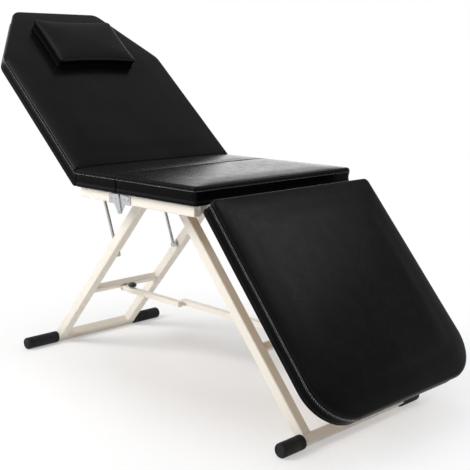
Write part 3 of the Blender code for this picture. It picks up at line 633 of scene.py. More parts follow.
# (share of the crown lost at the end, exponent of the fall) at a free end and at one that abuts another pad
FREE_END, ABUTTING_END = (1.0, 9), (0.35, 24)
SIDE_FALL = 9
# size of a pad's unevenness, and the angle in degrees beyond which its edges stay sharp
UNEVEN, PAD_SHARP = 0.0003, 60
# share of the mesh step between the points of a rounded corner
ARC_STEP = 0.45
# faces that look up less than this belong to a pad's border, and take the band finish whose darker tone is painted
# shade
BORDER_FACING = 0.15


def rounded_side(corners, step):
    """Points along one side of a pad, from (x, y, radius) corners. Its ends are square to the middle line."""
    marks = [Vector(corner[:2]) for corner in corners]
    marks = [Vector((marks[0].x, 0)), *marks, Vector((marks[-1].x, 0))]
    points = []
    for before, here, after, (_, _, radius) in zip(marks, marks[1:], marks[2:], corners):
        back, on = (before - here).normalized(), (after - here).normalized()
        half = back.angle(on) / 2
        reach = radius / math.tan(half)
        centre = here + (back + on).normalized() * (radius / math.sin(half))
        first, last = here + back * reach - centre, here + on * reach - centre
        sweep = first.angle_signed(last)
        arc = max(4, math.ceil(radius * (math.pi - 2 * half) / (step * ARC_STEP)))
        bend = [centre + Matrix.Rotation(-sweep * part / arc, 2) @ first for part in range(arc + 1)]
        if points:
            run = bend[0] - points[-1]
            pieces = max(1, round(run.length / step))
            points += [points[-1] + run * (part / pieces) for part in range(1, pieces)]
        points += bend
    return points


def even_shares(columns):
    return [2 * column / columns - 1 for column in range(columns + 1)]


def panel(bm, side, columns, span, ease, place):
    """A grid of points over a pad, placed by (point, share, along), and how freely the filling moves each."""
    middle, half = span
    shares = even_shares(columns)
    grid, free = [], []
    for point in side:
        along = (point.x - middle) / half
        grid.append([bm.verts.new(place(point, share, along)) for share in shares])
        free += [min(1.0, ease * (1 - abs(share)), ease * (1 - abs(along))) for share in shares]
    return grid, free


def face_grid(bm, grid, turn=1):
    for lower, upper in zip(grid, grid[1:]):
        for here in range(len(lower) - 1):
            bm.faces.new((lower[here], upper[here], upper[here + 1], lower[here + 1])[::turn])


def rim_of(grid):
    """The loop round a grid, turning left."""
    loop = [row[0] for row in grid] + grid[-1][1:-1]
    return loop + [row[-1] for row in reversed(grid)] + grid[0][-2:0:-1]


def wall(bm, upper, lower):
    """The faces between two loops, and the lower loop to go on from."""
    pairs = list(zip(upper, lower))
    faces = [
        bm.faces.new((over, under, after_under, after_over))
        for (over, under), (after_over, after_under) in zip(pairs, pairs[1:] + pairs[:1])
    ]
    return lower, faces


class Pad:
    """A pad made level: a crowned top, a rolled edge, a seam, a drawn-in border, a pocket for its board."""

    def __init__(self, stem, place, corners, lift, ends=(1.0, 1.0), bend=None, boxed=False, twin=False):
        looks = settings().upholstery
        self.name, self.node, self.board = f"{stem}_cushion", f"{stem}_pad", f"{stem}_board"
        self.place, self.lift, self.ends, self.bend = place, lift, ends, bend
        self.boxed, self.twin = boxed, twin
        self.side = rounded_side(corners, looks.mesh_step)
        low, self.high = self.side[0].x, self.side[-1].x
        self.middle, self.half = (low + self.high) / 2, (self.high - low) / 2
        self.wide = max(point.y for point in self.side)
        self.columns = round(2 * self.wide / looks.mesh_step)
        self.top = looks.border
        self.seam = self.top - SEAM_DEPTH * looks.roll

    def scaled(self, x, y, inset):
        """A point drawn in by an inset, of which an end that abuts another pad takes a share."""
        share = self.ends[x > self.middle]
        x = self.middle + (x - self.middle) * (1 - share * inset / self.half)
        return x, y * (1 - inset / self.wide)

    def outline(self):
        """The pad's outline from above, turning left: near side, high end, far side, low end."""
        shares = even_shares(self.columns)
        return rim_of([[(point.x, point.y * share) for share in shares] for point in self.side])

    def placed(self, x, y, z):
        """A point of the level pad in its own frame, with the end at the bend mitred."""
        z += self.lift
        if self.bend:
            limit = self.bend(z)
            near = max(0.0, 1 + (x - self.high) / MITRE_REACH) ** 2
            x = min(x + (limit - self.high) * near, limit)
        return Vector((x, y, z))

    def ring(self, inset, z):
        """The outline at an inset and a height, on the level pad."""
        return [self.placed(*self.scaled(x, y, inset), z) for x, y in self.outline()]

    def loop(self, inset, z):
        """The same in the table's frame."""
        return [self.place @ point for point in self.ring(inset, z)]

    def profile(self):
        """(inset, height) down the border."""
        looks, top = settings().upholstery, self.top
        rows = [(inset * looks.roll, top - depth * looks.roll) for inset, depth in ROLL_ROWS]
        rows += [(inset, top - depth * looks.roll) for inset, depth in SEAM_ROWS]
        rows += [(inset * looks.draw_in, height * top) for inset, height in BORDER_ROWS]
        return rows + [(inset, height * top) for inset, height in HEM_ROWS]

    def crowned(self, point, share, along):
        """A point of the crowned top."""
        looks = settings().upholstery
        fall, flat = FREE_END if self.ends[along > 0] == 1.0 else ABUTTING_END
        rise = (1 - abs(share) ** SIDE_FALL) * (1 - fall * abs(along) ** flat)
        x, y = self.scaled(point.x, point.y * share, looks.roll)
        return self.placed(x, y, self.top + looks.crown * rise)

    def build(self):
        """The level pad, and how freely the filling moves its first points."""
        bm = bmesh.new()
        bm.edges.layers.float.new("crease_edge")
        grid, free = panel(bm, self.side, self.columns, (self.middle, self.half), PAD_EASE, self.crowned)
        face_grid(bm, grid)
        loop = rim_of(grid)
        for row in self.profile()[1:]:
            loop, _ = wall(bm, loop, [bm.verts.new(point) for point in self.ring(*row)])
        self.close_under(bm, loop)
        return bm, free

    def close_under(self, bm, loop):
        """Closes the underside round a pocket for the board."""
        points = node_points(self.board, self.place.inverted())
        low, high = points[:, 2].min(), points[:, 2].max()
        rim = np.unique(np.round(points[points[:, 2] < (low + high) / 2][:, :2], 6), axis=0)
        middle = rim.mean(axis=0)
        rim = rim[np.argsort(np.arctan2(rim[:, 1] - middle[1], rim[:, 0] - middle[0]))]
        out = rim + GAP * (rim - middle) / np.linalg.norm(rim - middle, axis=1, keepdims=True)
        mouth, roof = ([bm.verts.new((x, y, z)) for x, y in out] for z in (self.lift, high + GAP))
        edges = [bm.edges.get(pair) for pair in zip(loop, loop[1:] + loop[:1])]
        edges += [bm.edges.new(pair) for pair in zip(mouth, mouth[1:] + mouth[:1])]
        bmesh.ops.triangle_fill(bm, use_beauty=True, edges=edges, normal=(0, 0, -1))
        crease = bm.edges.layers.float["crease_edge"]
        for face in (bm.faces.new(roof), *wall(bm, mouth, roof)[1]):
            for edge in face.edges:
                edge[crease] = 1.0


def pads():
    """The four boxed pads, each with the frame that it lies level in."""
    level = Matrix.Identity(4)
    seat_low, seat_high, _ = box_of("seat_pad")
    middle_low, middle_high, _ = box_of("middle_pad")
    half = seat_high.y
    back, leg = tilted("backrest_tilt"), tilted("leg_rest_tilt")
    back_points = node_points("back_pad", back.inverted())
    leg_points = node_points("leg_rest_pad", leg.inverted())
    hinge = Vector(JOINTS["backrest_tilt"]["pos_m"])
    sine, cosine = math.sin(tilt_of("backrest_tilt")), math.cos(tilt_of("backrest_tilt"))
    end, shelf = middle_low.x - GAP - hinge.x, middle_low.z + GAP - hinge.z

    def bend(z):
        """How far the back pad may reach at a height: to the middle pad's end, and down to its underside."""
        return min((end - z * sine) / cosine, (z * cosine - shelf) / sine) - GAP

    seat_corners = [(seat_low.x, half, SHARP), (seat_high.x, half, SQUARE)]
    middle_corners = [(middle_low.x, half, SHARP), (middle_high.x, half, SHARP)]
    head = back_points[:, 0].min()
    back_corners = [(head, HEAD_HALF, HEAD_CORNER), (KNEE, half, KNEE_CORNER), (0.0, half, SHARP)]
    leg_corners = [(leg_points[:, 0].min(), half, SQUARE), (leg_points[:, 0].max(), half, FOOT_CORNER)]
    return (
        Pad("seat", level, seat_corners, seat_low.z, (ABUT, 1.0), boxed=True),
        Pad("middle", level, middle_corners, middle_low.z, (ABUT, ABUT), boxed=True),
        Pad("back", back, back_corners, back_points[:, 2].min(), (1.0, ABUT), bend),
        Pad("leg_rest", leg, leg_corners, leg_points[:, 2].min(), twin=True),
    )


def swell(obj, held, most):
    """Fills a pad: cloth under pressure, held where it is sewn, no point moving further than most."""
    group = obj.vertex_groups.new(name="held")
    for weight in np.unique(np.round(held, 3)):
        group.add(np.flatnonzero(np.round(held, 3) == weight).tolist(), float(weight), "REPLACE")
    rest = points_of(obj.data)
    cloth = obj.modifiers.new("Filling", "CLOTH")
    filling = dict(
        quality=6, mass=0.15, tension_stiffness=12.0, compression_stiffness=12.0, shear_stiffness=6.0,
        bending_stiffness=0.5, use_pressure=True, uniform_pressure_force=settings().upholstery.pressure,
        vertex_group_mass="held",
    )
    for key, value in filling.items():
        setattr(cloth.settings, key, value)
    cloth.settings.effector_weights.gravity = 0.0
    cloth.collision_settings.use_collision = False
    scene, last = bpy.context.scene, 20
    cloth.point_cache.frame_start, cloth.point_cache.frame_end = 1, last
    for number in range(1, last + 1):
        scene.frame_set(number)
    step = points_of(obj.evaluated_get(bpy.context.evaluated_depsgraph_get()).data) - rest
    obj.modifiers.clear()
    obj.vertex_groups.clear()
    scene.frame_set(1)
    far = np.linalg.norm(step, axis=1, keepdims=True)
    step *= np.tanh(far / most) * most / np.maximum(far, 1e-9)
    obj.data.vertices.foreach_set("co", (rest + step).ravel())
    obj.data.update()


def soften(mesh, size):
    """Small hand-worked unevenness over a pad, so that no panel is ruler flat."""
    for vertex in mesh.vertices:
        place = vertex.co
        lift = noise.noise(place * 7.0) + 0.5 * noise.noise(place * 17.0 + Vector((3, 1, 7)))
        vertex.co = place + vertex.normal * (lift * size)
    mesh.update()


def add_cushion(name, bm, free, most, place, uneven=0.0, sharp=None):
    """A level pad filled, set in its place and rounded, with the matt finish on its border, its tone darkened
    there as painted shade.
    """
    bmesh.ops.recalc_face_normals(bm, faces=bm.faces)
    mesh = bpy.data.meshes.new(name)
    bm.to_mesh(mesh)
    bm.free()
    held = np.ones(len(mesh.vertices))
    held[: len(free)] = 1 - np.array(free)
    cushion = add_object(name, mesh, [finish("faux_leather"), finish("faux_leather_band")])
    swell(cushion, held, most)
    if uneven:
        soften(mesh, uneven)
    mesh.transform(place)
    shade_smooth(mesh)
    rounder = cushion.modifiers.new("Rounder", "SUBSURF")
    rounder.levels = rounder.render_levels = 1
    baked(cushion)
    shade_smooth(cushion.data, sharp)
    # faces looking sideways or down take the band finish: a matt vinyl whose darker tone is painted shade
    up = place.to_3x3() @ UP
    for face in cushion.data.polygons:
        face.material_index = int(face.normal.dot(up) < BORDER_FACING)
    return cushion


class TABLE_OT_pads(bpy.types.Operator):
    """Make the four boxed pads with their piping and stitching"""

    bl_idname = "massage_table.pads"
    bl_label = "Boxed pads"

    def execute(self, context):
        looks = settings().upholstery
        stitches, piping = stitch_tree(), cord_tree("piping", 0.0)
        for pad in pads():
            body = BODY_OF[pad.node]
            most = looks.crown * PAD_MOST
            cushion = add_cushion(pad.name, *pad.build(), most, pad.place, UNEVEN, PAD_SHARP)
            finish_piece(cushion, body, "faux_leather", pad.node)
            piping.lay(
                f"{pad.name}_welt", path_mesh("welt", self.welts(pad)), "faux_leather", body, "faux_leather",
                Radius=looks.welt, Step=WELT_STEP,
            )
            rows = path_mesh("rows", self.rows(pad, surface_of(cushion)))
            stitches.lay(
                f"{pad.name}_stitching", rows, "thread", body, "faux_leather",
                Pitch=looks.stitch_pitch, Length=looks.stitch_length, Width=looks.stitch_width,
            )
        return {"FINISHED"}

    @staticmethod
    def welts(pad):
        """The welt in the seam and, on a boxed pad's free end, up the border's corners."""
        welts, outline = [(pad.loop(0.0006, pad.seam), True)], pad.outline()
        rows = [row for row in pad.profile() if 0.05 * pad.top < row[1] < pad.seam]
        for sign in (-1, 1) if pad.boxed and pad.ends[1] == 1.0 else ():
            corner = max(range(len(outline)), key=lambda index: outline[index][0] + sign * outline[index][1])
            welts.append(([pad.loop(*row)[corner] for row in rows], False))
        return welts

    @staticmethod
    def rows(pad, surface):
        """The stitch rows, laid on the pad's surface."""
        rows = []
        for depth in STITCH_DEPTHS if pad.twin else STITCH_DEPTHS[:1]:
            path = pad.loop(0.0, pad.seam - depth * settings().upholstery.roll)
            hits = [surface.find_nearest(point) for point in path]
            rows.append(([place + normal * 0.0001 for place, normal, _, _ in hits], True))
        return rows


class TABLE_OT_pillow(bpy.types.Operator):
    """Make the loose pillow with its welted edges"""

    bl_idname = "massage_table.pillow"
    bl_label = "Pillow"

    def execute(self, context):
        place = tilted("backrest_tilt")
        inward, up = place.inverted(), place.to_3x3() @ UP
        points = node_points("pillow", inward)
        (low, _, base), (high, wide, peak) = points.min(axis=0), points.max(axis=0)
        step, border, corner = 0.008, 0.029, 0.009
        side = rounded_side([(low, wide, corner), (high, wide, corner)], step)
        middle, half = (low + high) / 2, (high - low) / 2
        columns = round(2 * wide / step)
        rise = 0.45 * (peak - base - border)
        bed = surface_of(bpy.data.objects["back_cushion"])

        def scaled(point, share, inset):
            """A point of the outline at an inset, its sides drawn in between the corners."""
            x, y = point.x, point.y * share
            pinch = 1 - PINCH * (1 - ((x - middle) / half) ** 2)
            slack = 1 - SLACK * (1 - (y / wide) ** 2)
            return middle + (x - middle) * (1 - inset / half) * slack, y * (1 - inset / wide) * pinch

        def crowned(point, share, along):
            crown = (1 - abs(share) ** 8) * (1 - abs(along) ** 6)
            return *scaled(point, share, PILLOW_EDGE), base + border + rise * crown

        def bedded(point, share, along):
            """On the back pad's top."""
            x, y = scaled(point, share, PILLOW_HEM)
            hit = bed.ray_cast(place @ Vector((x, y, base + 0.05)), -up)[0]
            return x, y, base if hit is None else min(base, (inward @ hit).z + 0.0006)

        bm = bmesh.new()
        top, free = panel(bm, side, columns, (middle, half), PILLOW_EASE, crowned)
        under, _ = panel(bm, side, columns, (middle, half), PILLOW_EASE, bedded)
        face_grid(bm, top)
        face_grid(bm, under, -1)
        loop, welts = rim_of(top), []
        pairs = list(zip(rim_of(top), rim_of(under)))
        for inset, share in PILLOW_ROWS:
            ring = []
            for upper, lower in pairs:
                x, y, z = upper.co.lerp(lower.co, 1 - share)
                x = middle + (x - middle) * (1 + (PILLOW_EDGE - inset) / half)
                ring.append(bm.verts.new((x, y * (1 + (PILLOW_EDGE - inset) / wide), z)))
            if share in PILLOW_WELTS:
                welts.append(([place @ vert.co for vert in ring], True))
            loop, _ = wall(bm, loop, ring)
        wall(bm, loop, rim_of(under))
        cushion = add_cushion("pillow_cushion", bm, free, PILLOW_MOST, place)
        finish_piece(cushion, "pillow", "faux_leather", "pillow")
        # the pillow's welts take the band finish, whose darker tone is painted shade
        cord_tree("pillow_piping", 0.0).lay(
            "pillow_welt", path_mesh("welt", welts), "faux_leather_band", "pillow", "faux_leather",
            Radius=0.0017, Step=WELT_STEP,
        )
        return {"FINISHED"}


# ---- frame and fittings

# (along, share of the radius) rows of a floor cap: its mouth, one rib, and its nose, back from the end
CAP_MOUTH = ((0.0, 0.0), (0.0, 0.90), (0.0008, 0.965), (0.0030, 0.99))
CAP_RIB = ((-0.0013, 0.998), (-0.0006, 0.972), (0.0006, 0.972), (0.0013, 0.998))
CAP_RIBS = (0.009, 0.014, 0.019)
CAP_NOSE = (
    (0.0200, 1.0), (0.0066, 1.0), (0.0038, 0.965), (0.0016, 0.89), (0.0005, 0.79), (0.0, 0.71),
    (0.0002, 0.64), (0.0013, 0.59), (0.0015, 0.34), (0.0008, 0.29), (0.0008, 0.19), (0.0020, 0.12),
    (0.0022, 0.0),
)
# (height, share of the radius, share of the flutes) rows of the knob's head
KNOB_HEIGHT = 0.013
KNOB_ROWS = (
    (0.0, 0.55, 0.0), (0.0, 0.80, 0.3), (0.001, 0.90, 0.8), (0.0035, 0.965, 1.0), (0.0075, 0.965, 1.0),
    (0.0100, 0.91, 0.9), (0.0118, 0.80, 0.5), (KNOB_HEIGHT, 0.66, 0.1), (KNOB_HEIGHT, 0.52, 0.0),
    (0.012, 0.47, 0.0), (0.012, 0.16, 0.0),
)
FLUTES, FLUTE = 8, 0.062
# (height, inset, corner radius) rows of a tube's plug, from its skirt inside the tube to the dish in its head
PLUG_ROWS = (
    (-0.012, 0.0021, 0.0018), (0.0, 0.0021, 0.0018), (0.0, 0.0002, 0.0040), (0.0008, 0.0, 0.0040),
    (0.0016, 0.0008, 0.0036), (0.0021, 0.0024, 0.0030), (0.0021, 0.0048, 0.0024), (0.0014, 0.0060, 0.0020),
)
# (height, share of the radius) rows of a screw's pan head, and the rim and floor of its cross recess
SCREW_ROWS = ((-0.0008, 0.92), (0.0002, 1.0), (0.0009, 0.96), (0.0016, 0.80), (0.0020, 0.62))
SCREW_RIM, SCREW_FLOOR = 0.0020, 0.0006
# places of the screws: along the fold's leaves, the leg brackets and the lugs, and across the back's hinge
LEAF_SCREWS, BRACKET_SCREWS, LUG_SCREWS = (0.018, 0.036), (-0.016, 0.016), (0.016, 0.048)
HINGE_SCREWS, HINGE_REACH = (-0.125, -0.0625, 0.0, 0.0625, 0.125), 0.036
# (x, z) path and (y, z) section of a staple
STAPLE_PATH = (
    (-0.0050, -0.0008), (-0.0050, 0.0002), (-0.0044, 0.0006),
    (0.0044, 0.0006), (0.0050, 0.0002), (0.0050, -0.0008),
)
STAPLE_SECTION = ((-0.0006, -0.0003), (0.0006, -0.0003), (0.0006, 0.0003), (-0.0006, 0.0003))
STAPLE_PITCH, STAPLE_INSET = 0.042, 0.0135
# (along, radius) rows and the sides of a cap nut's washer, hexagon and dome
CAP_NUT = (
    (((0.0, 0.0), (0.0, 0.0088), (0.0010, 0.0090), (0.0012, 0.0086), (0.0012, 0.0)), 28),
    (((0.0012, 0.0), (0.0012, 0.0078), (0.0052, 0.0078), (0.0060, 0.0070), (0.0060, 0.0)), 6),
    (((0.0058, 0), (0.0058, 0.0062), (0.0078, 0.0056), (0.0094, 0.0040), (0.0102, 0.0018), (0.0104, 0)), 24),
)
# (along, radius) rows of a strut clamp's collar and of its stud
COLLAR = (
    (0.0, 0.0080), (0.0, 0.0096), (0.0012, 0.0106), (0.0100, 0.0106), (0.0108, 0.0100), (0.0176, 0.0094),
    (0.0184, 0.0086), (0.0184, 0.0066), (0.0, 0.0066), (0.0, 0.0080),
)
STUD = (
    (0.0095, 0.0), (0.0095, 0.0032), (0.0150, 0.0032), (0.0152, 0.0058), (0.0160, 0.0066), (0.0200, 0.0066),
    (0.0210, 0.0056), (0.0212, 0.0),
)


class TABLE_OT_finishes(bpy.types.Operator):
    """Give the solids that stay in view their finishes"""

    bl_idname = "massage_table.finishes"
    bl_label = "Finishes of the frame"

    def execute(self, context):
        boards = {"back_board": "plywood_back", "leg_rest_board": "plywood_leg_rest"}
        for node, obj in NODES.items():
            for material_slot in obj.material_slots:
                material_slot.material = finish(boards.get(node, SLOT_OF[node]))
        return {"FINISHED"}


class TABLE_OT_caps(bpy.types.Operator):
    """Make the ribbed rubber caps on the floor bars"""

    bl_idname = "massage_table.caps"
    bl_label = "Floor caps"

    def execute(self, context):
        for node, sign in [(f"{leg}_cap_{side}", sign) for leg in LEGS for side, sign in SIDES.items()]:
            low, high, middle = box_of(node)
            reach, radius = high.y - low.y, (high.z - low.z) / 2
            rows = list(CAP_MOUTH)
            rows += [(rib + along, share) for rib in CAP_RIBS for along, share in CAP_RIB]
            rows += [(reach - back, share) for back, share in CAP_NOSE]
            mouth = Vector((middle.x, low.y if sign > 0 else high.y, radius))
            place = frame_of(mouth, (0, sign, 0), (1, 0, 0))
            shape = lathe([(along, share * radius) for along, share in rows], place, 48)
            make_piece(f"{node}_ribbed", [shape], 42, "rubber", BODY_OF[node], "rubber", node)
        return {"FINISHED"}


class TABLE_OT_knob(bpy.types.Operator):
    """Make the fluted clamping knob with its screw"""

    bl_idname = "massage_table.knob"
    bl_label = "Clamping knob"

    def execute(self, context):
        low, high, _ = box_of("stretcher_knob")
        centre = Vector(JOINTS["knob_turn"]["pos_m"])
        under, radius = high.z - KNOB_HEIGHT, (high.x - low.x) / 2
        sides, turns, thread_pitch = 64, 9, 0.0014
        rings = []
        for height, share, wave in KNOB_ROWS:
            ring = []
            for side, (x, y) in enumerate(around(sides)):
                flute = wave * FLUTE * math.cos(FLUTES * 2 * math.pi * side / sides)
                reach = radius * share * (1 + flute) / (1 + FLUTE)
                ring.append((centre.x + reach * x, centre.y + reach * y, under + height))
            rings.append(ring)
        stem = [(low.z, 0.0), (low.z, 0.0028), (low.z + 0.0006, 0.0034)]
        for turn in range(turns):
            start = low.z + 0.001 + turn * thread_pitch
            stem += [(start, 0.0034), (start + 0.0005, 0.0029), (start + 0.0010, 0.0034)]
        stem += [(under + 0.001, 0.0034), (under + 0.001, 0.0)]
        column = lathe(stem, Matrix.Translation((centre.x, centre.y, 0)), 20)
        make_piece("clamping_knob", [skin(rings)], 38, "moulded_plastic", "knob", "rubber", "stretcher_knob")
        make_piece("clamping_screw", [column], 38, "zinc", "knob", "zinc")
        return {"FINISHED"}


class TABLE_OT_plugs(bpy.types.Operator):
    """Close the open ends of the rails and the uprights with painted plugs"""

    bl_idname = "massage_table.plugs"
    bl_label = "Tube plugs"

    def execute(self, context):
        plugs = {}
        for rail, end in (("seat", 1), ("middle", -1)):
            for node in [f"{rail}_rail_{side}" for side in SIDES]:
                low, high, middle = box_of(node)
                place = Vector((high.x if end > 0 else low.x, middle.y, middle.z))
                shape = self.plug(frame_of(place, (end, 0, 0), (0, 1, 0)), high.y - low.y, high.z - low.z)
                plugs.setdefault(BODY_OF[node], []).append(shape)
        for leg in LEGS:
            pivot, _, up, across = leg_axes(leg)
            for node in [f"{leg}_upright_{side}" for side in SIDES]:
                low, high, middle = box_of(node)
                top = max((node_points(node) - np.array(pivot)) @ np.array(up))
                place = pivot + up * top + Vector((0, middle.y, 0))
                shape = self.plug(frame_of(place, up, across), high.y - low.y, high.y - low.y)
                plugs.setdefault(BODY_OF[node], []).append(shape)
        for body, shapes in plugs.items():
            make_piece(f"{body}_plugs", shapes, 35, "powder_coat", body, "powder_coat")
        return {"FINISHED"}

    @staticmethod
    def plug(place, wide, deep):
        rings = []
        for height, inset, radius in PLUG_ROWS:
            ring = square_ring(wide / 2 - inset, deep / 2 - inset, radius)
            rings.append([place @ Vector((x, y, height)) for x, y in ring])
        return skin(rings)


class TABLE_OT_welds(bpy.types.Operator):
    """Lay the weld beads where the tubes of a leg meet"""

    bl_idname = "massage_table.welds"
    bl_label = "Weld beads"

    def execute(self, context):
        beads = cord_tree("weld_beads", 0.16)
        corner = 0.004
        for leg in LEGS:
            _, foot, up, across = leg_axes(leg)
            lean = abs(up.x) + abs(up.z)
            low, high, centre = box_of(f"{leg}_crossbar")
            half = (high.z - low.z) / 2 / lean + GAP
            paths = []
            for sign in SIDES.values():
                end = Vector((centre.x, sign * (high.y - GAP), centre.z))
                ring = [end + across * x + up * y for x, y in square_ring(half, half, corner)]
                paths.append((ring, True))
            low, high, _ = box_of(f"{leg}_floor_bar")
            bar = (high.z - low.z) / 2 / lean
            for side in SIDES:
                low, high, middle = box_of(f"{leg}_upright_{side}")
                half = (high.y - low.y) / 2 + GAP
                seat = foot + up * (bar + 0.0006) + Vector((0, middle.y, 0))
                outline = square_ring(min(half, bar - 0.001), half, corner)
                paths.append(([seat + across * x + Vector((0, y, 0)) for x, y in outline], True))
            beads.lay(
                f"{leg}_leg_welds", path_mesh("beads", paths), "powder_coat", f"{leg}_leg", "powder_coat",
                Radius=0.0017, Step=0.0028,
            )
        return {"FINISHED"}


class TABLE_OT_fasteners(bpy.types.Operator):
    """Set the screws of the hinges and brackets, and the staples under the pads"""

    bl_idname = "massage_table.fasteners"
    bl_label = "Screws and staples"

    def execute(self, context):
        tree = fastener_tree()
        screw = add_object("screw_pattern", self.screw(settings().frame.screw))
        rings = [[(x, y, z + lift) for y, lift in STAPLE_SECTION] for x, z in STAPLE_PATH]
        staple = add_object("staple_pattern", joined("staple_pattern", [skin(rings)]))
        for body, spots in self.screws().items():
            points = fastener_points("screws", spots)
            heads = tree.lay(f"{body}_screws", points, "zinc", body, "zinc", Fastener=screw)
            shade_smooth(heads.data, 40)
        for pad in pads():
            points = fastener_points("staples", self.staples(pad))
            tree.lay(f"{pad.name}_staples", points, "steel", BODY_OF[pad.node], "steel", Fastener=staple)
        for pattern in (screw, staple):
            bpy.data.objects.remove(pattern)
        return {"FINISHED"}

    @staticmethod
    def screw(radius):
        """A pan head with a cross recess, standing on Z = 0."""
        circle = around(12)
        rings = [[(radius * share * x, radius * share * y, z) for x, y in circle] for z, share in SCREW_ROWS]
        cross = [radius * (0.16 if side % 3 else 0.50) for side in range(len(circle))]
        rings.append([(reach * x, reach * y, SCREW_RIM) for reach, (x, y) in zip(cross, circle)])
        points, faces = skin(rings)
        rim = faces.pop()
        faces += [(here, after, len(points)) for here, after in zip(rim, rim[1:] + rim[:1])]
        return joined("screw_pattern", [([*points, (0, 0, SCREW_FLOOR)], faces)])

    @staticmethod
    def staples(pad):
        """(place, facing, run) along the underside, a little outside the board."""
        ring, down = pad.loop(STAPLE_INSET, 0.0), -(pad.place.to_3x3() @ UP)
        spots, since = [], 0.0
        for here, after in zip(ring, ring[1:] + ring[:1]):
            since += (after - here).length
            if since >= STAPLE_PITCH:
                since = 0.0
                spots.append((here, down, (after - here).normalized()))
        return spots

    @staticmethod
    def screws():
        """{body: [(place, facing, run)]}, each found by a ray onto the plate that it holds."""
        aims = []
        fold = JOINTS["fold"]["pos_m"][0]
        for side, sign in SIDES.items():
            level = box_of(f"seat_rail_{side}")[2].z
            for half, way in (("seat", 1), ("head", -1)):
                for reach in LEAF_SCREWS:
                    start = Vector((fold + way * reach, sign * 0.40, level))
                    aims.append((f"fold_leaf_{half}_{side}", start, Vector((0, -sign, 0))))
            for node in [f"{leg}_leg_bracket_{side}" for leg in LEGS]:
                low, high, middle = box_of(node)
                outer = low.y if sign < 0 else high.y
                for reach in BRACKET_SCREWS:
                    aims.append((node, Vector((middle.x + reach, outer - sign * 0.012, low.z - 0.2)), UP))
            node = f"leg_rest_lug_{side}"
            for reach in LUG_SCREWS:
                start = Vector((box_of(node)[0].x + reach, sign * 0.10, level))
                aims.append((node, start, Vector((0, sign, 0))))
        flat = Matrix.Translation(JOINTS["backrest_tilt"]["pos_m"])
        back = tilted("backrest_tilt")
        hinge = (("back_hinge_leaf", flat, HINGE_REACH), ("back_hinge_strap", back, -HINGE_REACH))
        for y in HINGE_SCREWS:
            for node, place, x in hinge:
                aims.append((node, place @ Vector((x, y, -0.2)), place.to_3x3() @ UP))
        spots = {}
        for node, start, way in aims:
            place = surface_of(NODES[node]).ray_cast(start, way)[0]
            if place is None:
                raise RuntimeError(f"no place for a screw on {node}")
            run = Vector((0.6, 0.8, 0)) if abs(way.z) > 0.5 else Vector((0.6, 0, 0.8))
            spots.setdefault(BODY_OF[node], []).append((place, -way, run))
        return spots


class TABLE_OT_pivots(bpy.types.Operator):
    """Add the cap nuts on the axles and the clamps on the struts"""

    bl_idname = "massage_table.pivots"
    bl_label = "Cap nuts and clamps"

    def execute(self, context):
        sunk, mouth_back, stud_down = 0.0034, 0.024, 0.0056
        for leg, body in (("head", "head_half"), ("foot", "seat_half")):
            low, high, middle = box_of(f"{leg}_leg_axle")
            shapes = []
            for sign, end in ((-1, low.y), (1, high.y)):
                seat = Vector((middle.x, end - sign * sunk, middle.z))
                place = frame_of(seat, (0, sign, 0), (1, 0, 0))
                shapes += [lathe(rows, place, sides) for rows, sides in CAP_NUT]
            make_piece(f"{leg}_leg_nuts", shapes, 32, "zinc", body, "zinc")
        clamps = []
        hang = Vector(JOINTS["strut_swing"]["pos_m"])
        for side, sign in SIDES.items():
            bolt = box_of(f"strut_bolt_{side}")[2]
            tube_low, _, tube = box_of(f"strut_tube_{side}")
            down = Vector((bolt.x - hang.x, 0, bolt.z - hang.z)).normalized()
            mouth = Vector((hang.x, tube.y, hang.z)) + down * (hang.z - tube_low.z) / -down.z
            place = frame_of(mouth - down * mouth_back, down, (0, 1, 0))
            wing = frame_of(place @ Vector((0, 0, stud_down)), Vector((0, sign, 0)).cross(down), down)
            clamps += [lathe(COLLAR, place, 28), lathe(STUD, wing, 20)]
        make_piece("strut_clamps", clamps, 36, "moulded_plastic", "strut_tubes", "rubber")
        return {"FINISHED"}


# ---- stage

# name, place, aim, width in metres and power in watts
LAMPS = (
    ("key_lamp", (-1.2, -3.0, 2.6), (0.0, 0.0, 0.45), 2.2, 118.0),
    ("top_lamp", (0.2, -0.3, 4.2), (0.0, 0.0, 0.0), 2.6, 36.0),
    ("back_lamp", (1.5, 1.9, 2.7), (0.35, 0.0, 0.6), 1.2, 9.0),
    ("sheen_lamp", (-2.6, 2.7, 1.35), (0.2, 0.0, 0.62), 2.4, 12.5),
)
SENSOR = 36.0
# where the floor starts to fade and where it is white, in metres from the middle
FADE_START, FADE_END = 0.20, 1.15
# (share of the way up, grey) of the world that is seen or mirrored, and the even light elsewhere
SKY = ((0.24, 1.0), (0.74, 0.62), (0.50, 0.22))
AMBIENT = (0.42, 0.42, 0.43, 1)


